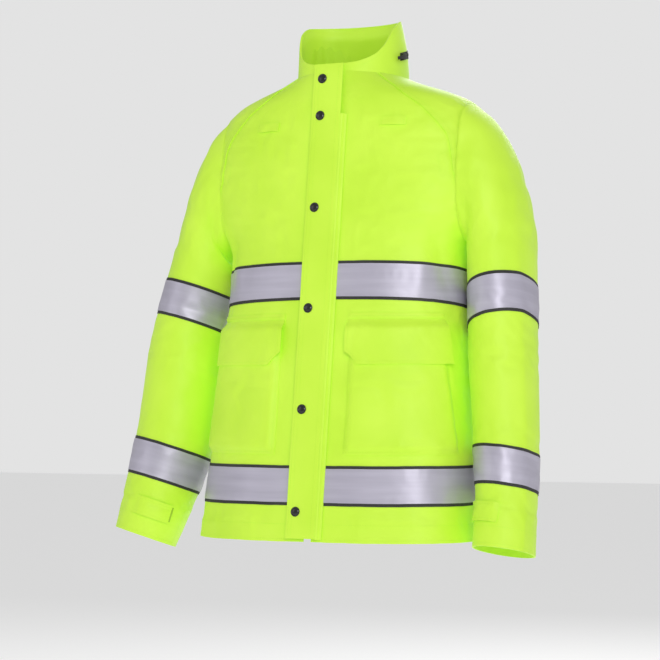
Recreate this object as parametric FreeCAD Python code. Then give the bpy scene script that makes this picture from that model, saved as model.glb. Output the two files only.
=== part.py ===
import FreeCAD
import Part
import functools
import math
import os

# A waterproof high-visibility duty coat, hung up by its neck loop in the shape it has when worn.
# Millimetres. +X is the wearer's left, -Y is the front, +Z is up.
# The origin is the middle of the hang loop, on the seam at the back of the neck.

# ---- lengths of the coat ----
hemZ = -728.0
frontTopZ = 5.0
frontTopY = -143.0
frontHemY = -247.0
armholeX = 200.0
sideSeamY = -59.0

# ---- cloth ----
shellThick = 2.0
seamGap = 0.4
liningInset = 4.0
liningThick = 0.8
layerGap = 0.3

# ---- torso: height, half width and the line of the back, hem to neck ----
torsoKeys = [
    (-728.0, 230.0, 28.0),
    (-600.0, 216.0, 31.0),
    (-480.0, 204.0, 36.0),
    (-380.0, 197.5, 41.0),
    (-290.0, 197.0, 47.0),
    (-225.0, 226.0, 51.0),
    (-165.0, 240.0, 52.0),
    (-110.0, 233.0, 49.0),
    (-75.0, 217.0, 44.0),
    (-52.0, 192.0, 39.0),
    (-38.0, 160.0, 36.0),
    (-24.0, 118.0, 31.0),
    (-10.0, 84.0, 25.0),
    (5.0, 50.0, 19.0),
]
torsoRoundness = 2.5
ringPoints = 32

# ---- collar ----
collarKeys = [
    (-110.0, 88.0, 16.0),
    (0.0, 85.5, 20.0),
    (110.0, 79.5, -27.4),
]
collarRoundness = 2.3
collarRim = [(-179.0, 4.0), (-143.0, 5.0), (-127.0, 14.0), (-111.0, 30.0),
             (-87.0, 62.0), (-57.0, 78.0), (-15.0, 82.0), (41.0, 82.0)]
neckSeamFrontZ = -80.0
neckSeamBackZ = -14.0
collarLiningInset = 13.0
hoodRollLow = 12.0

# ---- front opening: zip and storm flap ----
zipX = 8.0
zipHalfGap = 6.0
zipTapeWidth = 14.0
zipTapeThick = 0.8
zipToothPitch = 8.0
zipToothWidth = 3.4
zipToothTall = 4.0
flapSewnX = 23.0
flapFreeX = -26.0
flapStand = 5.0
flapThick = 2.0
flapEdgeZ = -724.0
snapX = -11.0
snapHeights = [-20.0, -78.0, -221.0, -376.0, -530.0, -684.0]
snapCapRadius = 7.5
snapRimRadius = 6.0
snapBore = 3.2
snapPost = 2.4

# ---- reflective bands ----
bandTall = 60.0
tapeTall = 50.8
chestBandZ = -327.0
chestBandFall = 0.10
hemBandZ = -644.0
bandFrontLeft = 26.0
bandFrontRight = -20.0

# ---- pockets ----
pocketEdgeX = 57.0
pocketRearY = -139.0
pocketTopZ = -408.0
pocketLowZ = -598.0
pocketDeep = 8.0
pocketWall = 1.6
pocketFlapTop = -394.0
pocketFlapLow = -462.0
pocketFlapCorner = 20.0
pocketFlapStand = 8.6
pocketFlapThick = 1.8
pocketWeltTall = 8.0

# ---- sleeves: inner X and Z, outer X and Z, middle Y, half depth, forward lean ----
shoulderRings = [
    (200.4, -282.0, 200.4, -56.0, -58.0, 74.0, 0.0),
    (203.0, -291.0, 240.0, -88.0, -59.0, 76.0, 0.02),
]
armRings = {
    1: shoulderRings + [
        (203.0, -302.0, 275.0, -160.0, -60.0, 76.0, 0.05),
        (202.5, -320.0, 297.0, -250.0, -62.0, 74.0, 0.10),
        (202.5, -352.0, 303.0, -345.0, -65.0, 71.0, 0.18),
        (207.0, -450.0, 311.0, -452.0, -79.0, 66.0, 0.20),
        (222.0, -566.0, 322.0, -574.0, -102.0, 60.0, 0.22),
        (238.0, -686.0, 330.0, -696.0, -135.0, 54.0, 0.22),
        (238.0, -738.0, 332.0, -744.0, -146.0, 55.0, 0.22),
    ],
    -1: shoulderRings + [
        (204.0, -303.0, 277.0, -164.0, -60.0, 76.0, 0.05),
        (209.0, -322.0, 303.0, -250.0, -63.0, 74.0, 0.10),
        (220.0, -362.0, 326.0, -334.0, -67.0, 72.0, 0.18),
        (229.0, -464.0, 349.0, -438.0, -79.0, 76.0, 0.20),
        (238.0, -586.0, 358.0, -556.0, -102.0, 70.0, 0.22),
        (268.0, -706.0, 370.0, -678.0, -135.0, 60.0, 0.22),
        (282.0, -748.0, 376.0, -722.0, -147.0, 54.0, 0.22),
    ],
}
sleeveBandHeights = [(4, -17.0), (6, -52.0)]
cuffTabWidth = 44.0
cuffTabTall = 30.0
cuffTabThick = 1.6

# ---- hang loop and label ----
loopHalf = 26.0
loopTall = 7.0
loopThick = 1.4
loopStand = 3.2
loopBow = 1.6

frontSlope = (frontTopY - frontHemY) / (frontTopZ - hemZ)
frontTilt = math.degrees(math.atan(frontSlope))
sides = {"left": 1, "right": -1}


def frontY(z):
    return frontTopY + (z - frontTopZ) * frontSlope


def frontPoint(x, n, z):
    # A point n in front of the straight line that the zip follows.
    lean = math.radians(frontTilt)
    y = frontY(z) - n * math.cos(lean)
    return FreeCAD.Vector(x, y, z + n * math.sin(lean))


def frontBox(x0, x1, n0, n1, z0, z1):
    # A block that lies along the front line, from n0 to n1 in front of it.
    scale = 1.0 / math.cos(math.radians(frontTilt))
    corner = FreeCAD.Vector(x0, -n1, z0 * scale)
    block = Part.makeBox(x1 - x0, n1 - n0, (z1 - z0) * scale, corner)
    block.rotate(FreeCAD.Vector(0, 0, 0), FreeCAD.Vector(1, 0, 0), -frontTilt)
    block.translate(FreeCAD.Vector(0, frontY(0), 0))
    return block


def frontDisc(x, z, n0, n1, radius):
    lean = math.radians(frontTilt)
    outward = FreeCAD.Vector(0, -math.cos(lean), math.sin(lean))
    return Part.makeCylinder(radius, n1 - n0, frontPoint(x, n0, z), outward)


def box(x0, x1, y0, y1, z0, z1):
    return Part.makeBox(x1 - x0, y1 - y0, z1 - z0, FreeCAD.Vector(x0, y0, z0))


def closedWire(points):
    curve = Part.BSplineCurve()
    curve.interpolate(points, PeriodicFlag=True)
    return Part.Wire(curve.toShape())


def stackRings(wires):
    # A closed solid through a stack of rings, straight from each ring to the next.
    faces = [Part.makeRuledSurface(a.Edges[0], b.Edges[0]) for a, b in zip(wires[:-1], wires[1:])]
    faces.append(Part.Face(wires[0]))
    faces.append(Part.Face(wires[-1]))
    shell = Part.makeShell(faces)
    shell.sewShape()
    return Part.makeSolid(shell)


def flatRing(z, halfWidth, front, back, roundness):
    # A level ring, squarer than an ellipse, that fits between the front and the back line.
    middle = (front + back) / 2
    depth = (back - front) / 2
    points = []
    for i in range(ringPoints):
        turn = 2 * math.pi * (i + 0.5) / ringPoints
        c = math.cos(turn)
        s = math.sin(turn)
        x = halfWidth * math.copysign(abs(c) ** (2 / roundness), c)
        y = middle + depth * math.copysign(abs(s) ** (2 / roundness), s)
        points.append(FreeCAD.Vector(x, y, z))
    return closedWire(points)


@functools.lru_cache(maxsize=None)
def torsoSolid(grow, extend=0.0):
    # The outer form of the body, grown along its own slope, with its hem lowered by extend.
    wires = []
    for i, (z, halfWidth, back) in enumerate(torsoKeys):
        below = torsoKeys[max(i - 1, 0)]
        above = torsoKeys[min(i + 1, len(torsoKeys) - 1)]
        rise = above[0] - below[0]
        run = above[1] - below[1]
        length = math.hypot(rise, run)
        grownZ = z - grow * run / length
        grownX = halfWidth + grow * rise / length
        if i == 0:
            grownZ = z
        wires.append(flatRing(grownZ, grownX, frontY(grownZ) - grow, back + grow, torsoRoundness))
    if extend:
        hem = wires[0].copy()
        hem.translate(FreeCAD.Vector(0, 0, -extend))
        wires.insert(0, hem)
    return stackRings(wires)


def torsoLayer(inner, outer):
    return torsoSolid(outer).cut(torsoSolid(inner, 6.0))


@functools.lru_cache(maxsize=None)
def collarSolid(grow, backInset=0.0):
    wires = []
    for z, halfWidth, back in collarKeys:
        x = halfWidth + grow - backInset / 2
        wires.append(flatRing(z, x, frontY(z) - grow, back + grow - backInset, collarRoundness))
    return stackRings(wires)


def rimSolid(lower):
    # Everything under the rim of the collar, which dips at the front.
    curve = Part.BSplineCurve()
    curve.interpolate([FreeCAD.Vector(-200, y, z - lower) for y, z in collarRim])
    top = curve.toShape()
    first = FreeCAD.Vector(-200, collarRim[0][0], collarRim[0][1] - lower)
    last = FreeCAD.Vector(-200, collarRim[-1][0], collarRim[-1][1] - lower)
    deep = FreeCAD.Vector(0, 0, -300)
    edges = [top, Part.makeLine(last, last + deep), Part.makeLine(last + deep, first + deep),
             Part.makeLine(first + deep, first)]
    wire = Part.Wire(Part.__sortEdges__(edges))
    return Part.Face(wire).extrude(FreeCAD.Vector(400, 0, 0))


def zipGap(extra):
    return frontBox(zipX - zipHalfGap - extra, zipX + zipHalfGap + extra, -40, 40, hemZ - 30, 130)


def yokeRegion(side, extra):
    # The saddle over the shoulder: it is outboard of a curve from the neck to the armpit.
    curve = Part.BSplineCurve()
    seam = [(70.0, -12.0), (100.0, -32.0), (150.0, -70.0), (188.0, -118.0), (198.0, -170.0)]
    curve.interpolate([FreeCAD.Vector(side * (x + extra), -300, z + extra) for x, z in seam])
    first = FreeCAD.Vector(side * (seam[0][0] + extra), -300, seam[0][1] + extra)
    last = FreeCAD.Vector(side * (seam[-1][0] + extra), -300, seam[-1][1] + extra)
    far = FreeCAD.Vector(side * 320, -300, last.z)
    top = FreeCAD.Vector(side * 320, -300, 80)
    near = FreeCAD.Vector(first.x, -300, 80)
    edges = [curve.toShape(), Part.makeLine(last, far), Part.makeLine(far, top),
             Part.makeLine(top, near), Part.makeLine(near, first)]
    face = Part.Face(Part.Wire(Part.__sortEdges__(edges)))
    return face.extrude(FreeCAD.Vector(0, 500, 0))


def armholeCut(shape):
    # The armholes are level with the planes at both sides, from the armpit up.
    for side in (1, -1):
        x0 = armholeX - seamGap if side > 0 else -armholeX + seamGap - 90
        shape = shape.cut(box(x0, x0 + 90, -300, 120, -296, 60))
    return shape


def leanBox(side, ring, shift, tall, x0=-150.0, x1=150.0, y0=-150.0, y1=150.0):
    # A block square to a sleeve at one of its rings; shift is measured along the sleeve.
    innerX, innerZ, outerX, outerZ, y, depth, lean = armRings[side][ring]
    if side < 0:
        x0, x1 = -x1, -x0
    across = FreeCAD.Vector(side * (outerX - innerX), 0, outerZ - innerZ).normalize()
    back = FreeCAD.Vector(0, 1, -lean)
    along = across.cross(back).normalize() * side
    back = along.cross(across).normalize() * side
    middle = FreeCAD.Vector(side * (innerX + outerX) / 2, y, (innerZ + outerZ) / 2)
    block = Part.makeBox(x1 - x0, y1 - y0, tall, FreeCAD.Vector(x0, y0, shift - tall / 2))
    place = FreeCAD.Matrix()
    place.A11, place.A21, place.A31 = across * side
    place.A12, place.A22, place.A32 = back
    place.A13, place.A23, place.A33 = along
    place.A14, place.A24, place.A34 = middle
    return block.transformGeometry(place)


@functools.lru_cache(maxsize=None)
def sleevePoints(side, grow):
    # The points of every ring of a sleeve, grown outwards.
    rings = []
    for innerX, innerZ, outerX, outerZ, y, depth, lean in armRings[side]:
        inner = FreeCAD.Vector(side * innerX, y, innerZ)
        outer = FreeCAD.Vector(side * outerX, y, outerZ)
        across = (outer - inner).normalize()
        back = FreeCAD.Vector(0, 1, -lean)
        back = (back - across * (back * across)).normalize()
        middle = (inner + outer) / 2
        half = (outer - inner).Length / 2 + grow
        points = []
        for k in range(ringPoints):
            turn = 2 * math.pi * (k + 0.5) / ringPoints
            points.append(middle + across * (half * math.cos(turn)) + back * ((depth + grow) * math.sin(turn)))
        rings.append(points)
    return rings


@functools.lru_cache(maxsize=None)
def sleeveSolid(side, grow, extend=0.0):
    wires = [closedWire(points) for points in sleevePoints(side, grow)]
    if extend:
        armhole = wires[0].copy()
        armhole.translate(FreeCAD.Vector(-side * extend, 0, 0))
        cuff = wires[-1].copy()
        cuff.translate(FreeCAD.Vector(0, 0, -extend))
        wires = [armhole] + wires + [cuff]
    return stackRings(wires)


def sleeveBand(side, ring, shift, tall, inner, outer):
    # A hoop round a sleeve, square to it at one of its rings, with the sleeve's own bend at that ring.
    innerX, innerZ, outerX, outerZ, y, depth, lean = armRings[side][ring]
    middle = FreeCAD.Vector(side * (innerX + outerX) / 2, y, (innerZ + outerZ) / 2)
    across = FreeCAD.Vector(side * (outerX - innerX), 0, outerZ - innerZ).normalize()
    along = across.cross(FreeCAD.Vector(0, 1, -lean)).normalize() * side
    levels = (shift + tall / 2, shift - tall / 2)

    def levelWire(rings, level):
        points = []
        for k in range(ringPoints):
            for above, below in zip(rings[ring - 1:], rings[ring:]):
                high = (above[k] - middle) * along - level
                low = (below[k] - middle) * along - level
                if high >= 0 > low:
                    points.append(above[k] + (below[k] - above[k]) * (high / (high - low)))
                    break
        return closedWire(points)

    stacks = []
    for grow in (inner, outer):
        rings = sleevePoints(side, grow)
        wires = [levelWire(rings, level) for level in levels]
        if levels[0] > 0 > levels[1]:
            wires.insert(1, closedWire(rings[ring]))
        stacks.append(wires)
    faces = [Part.makeRuledSurface(a.Edges[0], b.Edges[0]) for wires in stacks for a, b in zip(wires, wires[1:])]
    for end in (0, -1):
        faces.append(Part.makeFace([stacks[1][end], stacks[0][end]], "Part::FaceMakerBullseye"))
    shell = Part.makeShell(faces)
    shell.sewShape()
    solid = Part.makeSolid(shell)
    if solid.Volume < 0:
        solid.reverse()
    return solid


def sleeveLayer(side, inner, outer):
    return sleeveSolid(side, outer).cut(sleeveSolid(side, inner, 4.0))


def tidy(shape):
    # Keep the real pieces of a cut, largest first, and drop slivers.
    solids = sorted(shape.Solids, key=lambda s: -s.Volume)
    kept = [s for s in solids if s.Volume > 0.01 * solids[0].Volume]
    return kept[0] if len(kept) == 1 else Part.makeCompound(kept)


def save(name, shape):
    if not shape.isValid():
        print("not valid:", name)
    b = shape.BoundBox
    print(f"{name:26s} solids {len(shape.Solids):3d} vol {shape.Volume / 1000:9.1f} cm3"
          f"  x {b.XMin:7.1f} {b.XMax:7.1f}  y {b.YMin:7.1f} {b.YMax:7.1f}  z {b.ZMin:7.1f} {b.ZMax:7.1f}")
    shape.exportStep("parts/" + name + ".step")


def makeBody():
    shell = torsoLayer(-shellThick, 0.0)
    shell = armholeCut(shell.cut(collarSolid(seamGap)))
    left = yokeRegion(1, 0.0)
    right = yokeRegion(-1, 0.0)
    save("shoulder_yoke_left", tidy(shell.common(left)))
    save("shoulder_yoke_right", tidy(shell.common(right)))
    rest = shell.cut(yokeRegion(1, -seamGap)).cut(yokeRegion(-1, -seamGap))
    back = rest.common(box(-300, 300, sideSeamY + seamGap / 2, 200, -800, 100))
    save("back_panel", tidy(back))
    front = rest.common(box(-300, 300, -400, sideSeamY - seamGap / 2, -800, 100)).cut(zipGap(0.0))
    save("front_panel_left", tidy(front.common(box(zipX, 300, -400, 100, -800, 100))))
    save("front_panel_right", tidy(front.common(box(-300, zipX, -400, 100, -800, 100))))


def makeLining():
    lining = torsoLayer(-liningInset - liningThick, -liningInset)
    lining = armholeCut(lining.cut(collarSolid(seamGap)))
    lining = lining.cut(frontBox(zipX - 24, zipX + 24, -60, 40, hemZ - 30, 130))
    lining = lining.cut(box(-300, 300, -400, 200, -800, hemZ + 34))
    save("torso_lining", tidy(lining))
    hem = torsoLayer(-shellThick - layerGap - 1.0, -shellThick - layerGap)
    hem = hem.common(box(-300, 300, -400, 200, -800, hemZ + 30))
    save("hem_facing", tidy(hem.cut(frontBox(zipX - 24, zipX + 24, -60, 40, hemZ - 30, 130))))


def aboveNeckSeam(lift):
    # Everything above the seam where the collar meets the body.
    front = FreeCAD.Vector(-200, frontTopY, neckSeamFrontZ + lift)
    back = FreeCAD.Vector(-200, 0, neckSeamBackZ + lift)
    slope = (back - front) * 1.4
    high = FreeCAD.Vector(0, 0, 400)
    first = back - slope
    last = front + slope
    corners = [first, last, last + high, first + high, first]
    return Part.Face(Part.makePolygon(corners)).extrude(FreeCAD.Vector(400, 0, 0))


def makeCollar():
    under = torsoSolid(-shellThick)
    rim = rimSolid(0.0)
    shell = collarSolid(0.0).cut(collarSolid(-shellThick)).common(rim).cut(under).cut(zipGap(0.0))
    save("collar_shell", tidy(shell))
    outer = collarSolid(-3.2, collarLiningInset - 3.2)
    lining = outer.cut(collarSolid(-3.2 - liningThick, collarLiningInset - 3.2))
    lining = lining.common(rim).common(aboveNeckSeam(0.0))
    save("collar_lining", tidy(lining.cut(frontBox(zipX - 24, zipX + 24, -60, 40, -140, 130))))
    roll = collarSolid(-shellThick - layerGap).cut(collarSolid(-3.2 + layerGap, collarLiningInset - 3.2))
    roll = roll.common(rimSolid(10.0)).common(aboveNeckSeam(hoodRollLow))
    save("hood_roll", tidy(roll.common(box(-200, 200, -81, 100, -100, 100))))


collarZipMiddle = FreeCAD.Vector(0, -83.6, 17.0)
collarZipLean = 14.0
collarSlideMiddle = FreeCAD.Vector(7.64, -66.04, 21.38)
collarSlideRadius = 80.5
collarSliderThick = 3.0
collarSliderTurn = (-5.5, 3.5)
collarPullThick = 1.2
collarPullTurn = (-17.0, 0.0)


def collarZipSlab(tall, low=0.0):
    # A thin slab in the leaning plane that the collar zip follows.
    slab = Part.makeBox(400, 400, tall, FreeCAD.Vector(-200, -200, low - tall / 2))
    slab.rotate(FreeCAD.Vector(0, 0, 0), FreeCAD.Vector(1, 0, 0), collarZipLean)
    slab.translate(collarZipMiddle)
    return slab


def collarZipPart(radius0, radius1, tall, turn0, turn1):
    # A curved block on the arc of the collar zip, from one angle to another.
    ring = Part.makeCylinder(radius1, tall, FreeCAD.Vector(0, 0, -tall / 2))
    ring = ring.cut(Part.makeCylinder(radius0, tall, FreeCAD.Vector(0, 0, -tall / 2)))
    a = math.radians(turn0)
    b = math.radians(turn1)
    reach = 2 * radius1
    corners = [FreeCAD.Vector(0, 0, -tall), FreeCAD.Vector(reach * math.cos(a), reach * math.sin(a), -tall),
               FreeCAD.Vector(reach * math.cos(b), reach * math.sin(b), -tall), FreeCAD.Vector(0, 0, -tall)]
    wedge = Part.Face(Part.makePolygon(corners)).extrude(FreeCAD.Vector(0, 0, 2 * tall))
    ring = ring.common(wedge)
    ring.rotate(FreeCAD.Vector(0, 0, 0), FreeCAD.Vector(1, 0, 0), collarZipLean)
    ring.translate(collarSlideMiddle)
    return ring


def makeCollarZip():
    tape = collarSolid(1.1).cut(collarSolid(0.2)).common(collarZipSlab(12.0))
    save("collar_zip_tape", tidy(tape.common(box(-200, 200, -73, 100, -100, 100))))
    r = collarSlideRadius
    top = r + collarSliderThick
    save("collar_slider", collarZipPart(r, top, 9.0, *collarSliderTurn))
    save("collar_pull", collarZipPart(top + 0.6, top + 0.6 + collarPullThick, 5.0, *collarPullTurn))


def makeZip():
    low = hemZ + 10
    high = frontTopZ - 6
    n0 = -4.4
    for name, side in sides.items():
        edge = zipX + side * 1.2
        far = edge + side * zipTapeWidth
        tape = frontBox(min(edge, far), max(edge, far), n0, n0 + zipTapeThick, low, high)
        save("zip_tape_" + name, tape)
        teeth = []
        z = low + 12 + (zipToothPitch / 2 if side > 0 else 0)
        while z < high - 12:
            x = zipX + side * (zipToothWidth / 2 - 0.6)
            teeth.append(frontBox(x - zipToothWidth / 2, x + zipToothWidth / 2, n0 + zipTapeThick + 0.02,
                                  -0.6, z, z + zipToothPitch / 2 - 0.4))
            z += zipToothPitch
        save("zip_teeth_" + name, Part.makeCompound(teeth))
    stops = [frontBox(zipX + s * 2.6 - 1.6, zipX + s * 2.6 + 1.6, n0 + zipTapeThick + 0.02, -0.6,
                      high - 8, high - 4) for s in (1, -1)]
    save("zip_top_stops", Part.makeCompound(stops))
    save("zip_retainer_box", frontBox(zipX - 5, zipX + 5, n0 + zipTapeThick + 0.02, 0.4, low + 1, low + 10))
    sliderZ = high - 24
    slider = frontBox(zipX - 5.6, zipX + 5.6, -2.6, 1.8, sliderZ, sliderZ + 12)
    slider = slider.cut(frontBox(zipX - 4.4, zipX + 4.4, -4, 0.2, sliderZ - 1, sliderZ + 13))
    save("main_slider", slider)
    pull = frontBox(zipX - 3.5, zipX + 3.5, 2.2, 3.4, sliderZ - 26, sliderZ + 6)
    pull = pull.cut(frontBox(zipX - 1.8, zipX + 1.8, 2, 4, sliderZ - 2, sliderZ + 4))
    save("main_pull", pull)


def makeStormFlap():
    flap = frontBox(flapFreeX, flapSewnX - 0.1, flapStand, flapStand + flapThick, flapEdgeZ, frontTopZ - 2)
    caps = []
    sockets = []
    studs = []
    for z in snapHeights:
        flap = flap.cut(frontDisc(snapX, z, flapStand - 1, flapStand + flapThick + 1, snapBore - 0.6))
        face = flapStand + flapThick
        rivet = frontDisc(snapX, z, flapStand - 0.6, face, snapBore - 0.7)
        caps.append(frontDisc(snapX, z, face, face + 2.2, snapCapRadius).fuse(rivet))
        ring = frontDisc(snapX, z, 2.2, flapStand - 0.05, snapRimRadius)
        sockets.append(ring.cut(frontDisc(snapX, z, 2.0, flapStand, snapBore)))
        stud = frontDisc(snapX, z, 0.3, 1.6, snapRimRadius).fuse(frontDisc(snapX, z, 0.3, 3.8, snapPost))
        studs.append(stud)
    save("storm_flap", flap)
    save("snap_caps", Part.makeCompound(caps))
    save("snap_sockets", Part.makeCompound(sockets))
    save("snap_studs", Part.makeCompound(studs))
    save("storm_flap_welt", frontBox(flapSewnX + 1.4, flapSewnX + 8, 0.5, flapStand + flapThick,
                                     flapEdgeZ, frontTopZ - 82))


def bandSlab(z, tall, fall):
    # A band all round the body; fall lowers it from the front to the back.
    drop = 400 * fall
    corners = [FreeCAD.Vector(-300, -350, z + drop / 4 + tall / 2), FreeCAD.Vector(-300, 150, z - drop + tall / 2),
               FreeCAD.Vector(-300, 150, z - drop - tall / 2), FreeCAD.Vector(-300, -350, z + drop / 4 - tall / 2)]
    corners.append(corners[0])
    return Part.Face(Part.makePolygon(corners)).extrude(FreeCAD.Vector(600, 0, 0))


def makeBands():
    gap = frontBox(bandFrontRight, bandFrontLeft + 6, -60, 60, hemZ - 40, 130)
    for name, z, fall in (("chest", chestBandZ, chestBandFall), ("hem", hemBandZ, 0.0)):
        trim = torsoLayer(layerGap, 1.1).common(bandSlab(z, bandTall, fall)).cut(gap)
        tape = torsoLayer(1.2, 1.8).common(bandSlab(z, tapeTall, fall)).cut(gap)
        if name == "chest":
            trim = armholeCut(trim)
            tape = armholeCut(tape)
        save(name + "_band_trim", tidy(trim))
        save(name + "_band_tape", tidy(tape))


def pocketPrism(side, inset, top, low):
    x0 = side * (pocketEdgeX + inset)
    x1 = side * 290
    return box(min(x0, x1), max(x0, x1), -360, pocketRearY - inset, low + inset, top)


def makePockets():
    welts = []
    patches = []
    for name, side in sides.items():
        bag = torsoLayer(layerGap, pocketDeep).common(pocketPrism(side, 0.0, pocketTopZ, pocketLowZ))
        hollow = torsoLayer(layerGap + pocketWall, pocketDeep - pocketWall)
        bag = bag.cut(hollow.common(pocketPrism(side, 3.0, pocketTopZ + 5, pocketLowZ)))
        save("pocket_" + name, tidy(bag))
        weltTop = pocketFlapTop + 2 + pocketWeltTall
        welt = torsoLayer(layerGap, pocketFlapStand + pocketFlapThick)
        welts.append(tidy(welt.common(pocketPrism(side, 0.0, weltTop, pocketFlapTop + 2))))
        flap = torsoLayer(pocketFlapStand, pocketFlapStand + pocketFlapThick)
        flap = flap.common(pocketPrism(side, -4.0, pocketFlapTop, pocketFlapLow + 4))
        edge = side * (pocketEdgeX - 4)
        corner = [FreeCAD.Vector(edge - side, -400, pocketFlapLow - 1),
                  FreeCAD.Vector(edge + side * pocketFlapCorner, -400, pocketFlapLow - 1),
                  FreeCAD.Vector(edge - side, -400, pocketFlapLow + pocketFlapCorner)]
        corner.append(corner[0])
        save("pocket_flap_" + name, tidy(flap.cut(Part.Face(Part.makePolygon(corner)).extrude(
            FreeCAD.Vector(0, 400, 0)))))
        patchX = side * (pocketEdgeX + 50)
        patch = box(min(patchX, patchX + side * 50), max(patchX, patchX + side * 50), -360, pocketRearY,
                    pocketFlapLow + 6, pocketFlapLow + 30)
        patches.append(tidy(torsoLayer(pocketDeep + 0.1, pocketDeep + 0.4).common(patch)))
    save("pocket_flap_welts", Part.makeCompound(welts))
    save("pocket_loop_patches", Part.makeCompound(patches))


def makeMicTabs():
    for name, side in sides.items():
        x0 = side * 86
        x1 = side * 126
        tab = torsoLayer(layerGap, 1.9).common(box(min(x0, x1), max(x0, x1), -300, -69, -96, -83))
        save("mic_tab_" + name, tidy(tab))


def makeSleeves():
    last = len(shoulderRings) + 6
    for name, side in sides.items():
        outside = box(armholeX + seamGap, 500, -400, 200, -900, 60)
        if side < 0:
            outside = box(-500, -armholeX - seamGap, -400, 200, -900, 60)
        save("sleeve_" + name, tidy(sleeveLayer(side, -shellThick, 0.0).common(outside)))
        trims = []
        tapes = []
        for ring, shift in sleeveBandHeights:
            trims.append(sleeveBand(side, ring, shift, bandTall, layerGap, 1.1))
            tapes.append(sleeveBand(side, ring, shift, tapeTall, 1.2, 1.8))
        save("sleeve_band_trim_" + name, Part.makeCompound(trims))
        save("sleeve_band_tape_" + name, Part.makeCompound(tapes))
        facing = sleeveLayer(side, -shellThick - layerGap - 1.0, -shellThick - layerGap)
        save("cuff_facing_" + name, tidy(facing.common(leanBox(side, last, 14.0, 40.0))))
        patch = sleeveLayer(side, layerGap, 1.2)
        save("cuff_loop_patch_" + name, tidy(patch.common(
            leanBox(side, last - 1, 0.0, cuffTabTall - 6, -46.0, 0.0, -90.0, -20.0))))
        tab = sleeveLayer(side, 1.8, 1.8 + cuffTabThick)
        save("cuff_tab_" + name, tidy(tab.common(
            leanBox(side, last - 1, 0.0, cuffTabTall, -cuffTabWidth, 6.0, -90.0, -10.0))))


def makeHangLoop():
    # A short tape whose ends are sewn to the neck seam; its middle stands clear for a hook.
    strip = box(-loopHalf, loopHalf, -loopBow - loopThick, -loopBow, -loopTall, 0)
    ends = [box(-loopHalf, -loopHalf + 6, -loopBow, loopStand, -loopTall, 0),
            box(loopHalf - 6, loopHalf, -loopBow, loopStand, -loopTall, 0)]
    save("hang_loop", strip.fuse(ends[0]).fuse(ends[1]))
    save("neck_label", box(-24, 24, loopStand - 1, loopStand - 0.4, -48, -loopTall - 6))


os.makedirs("parts", exist_ok=True)
makeBody()
makeLining()
makeCollar()
makeCollarZip()
makeZip()
makeStormFlap()
makeBands()
makePockets()
makeMicTabs()
makeSleeves()
makeHangLoop()
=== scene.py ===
import math

import bmesh
import bpy
import numpy as np
from mathutils import Matrix, Vector
from mathutils.bvhtree import BVHTree
from mathutils.interpolate import poly_3d_calc


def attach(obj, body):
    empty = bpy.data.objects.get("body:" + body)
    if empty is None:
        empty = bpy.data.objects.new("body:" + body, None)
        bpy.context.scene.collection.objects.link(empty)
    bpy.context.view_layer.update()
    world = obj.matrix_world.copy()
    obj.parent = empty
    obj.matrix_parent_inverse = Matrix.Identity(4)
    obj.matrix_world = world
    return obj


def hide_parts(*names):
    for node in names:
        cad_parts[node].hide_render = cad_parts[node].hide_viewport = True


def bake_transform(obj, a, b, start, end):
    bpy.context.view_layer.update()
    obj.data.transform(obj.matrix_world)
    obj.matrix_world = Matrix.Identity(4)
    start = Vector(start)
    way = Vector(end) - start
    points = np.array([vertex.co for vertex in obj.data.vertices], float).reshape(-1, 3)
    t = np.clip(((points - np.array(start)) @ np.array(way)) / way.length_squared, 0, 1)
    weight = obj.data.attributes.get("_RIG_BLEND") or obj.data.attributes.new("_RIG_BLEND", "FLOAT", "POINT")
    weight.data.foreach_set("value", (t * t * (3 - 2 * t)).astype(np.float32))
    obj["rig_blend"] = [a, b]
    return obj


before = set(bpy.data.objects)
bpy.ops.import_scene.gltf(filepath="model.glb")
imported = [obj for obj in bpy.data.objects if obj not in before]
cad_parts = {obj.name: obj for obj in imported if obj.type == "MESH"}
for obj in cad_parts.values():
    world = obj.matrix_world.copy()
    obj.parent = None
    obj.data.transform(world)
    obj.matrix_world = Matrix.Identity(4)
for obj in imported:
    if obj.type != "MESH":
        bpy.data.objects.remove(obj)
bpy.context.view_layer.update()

# Lengths in metres. +X is the wearer's left, -Y the front, +Z up; the origin is the middle of the hang loop.
mm = 0.001

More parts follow.
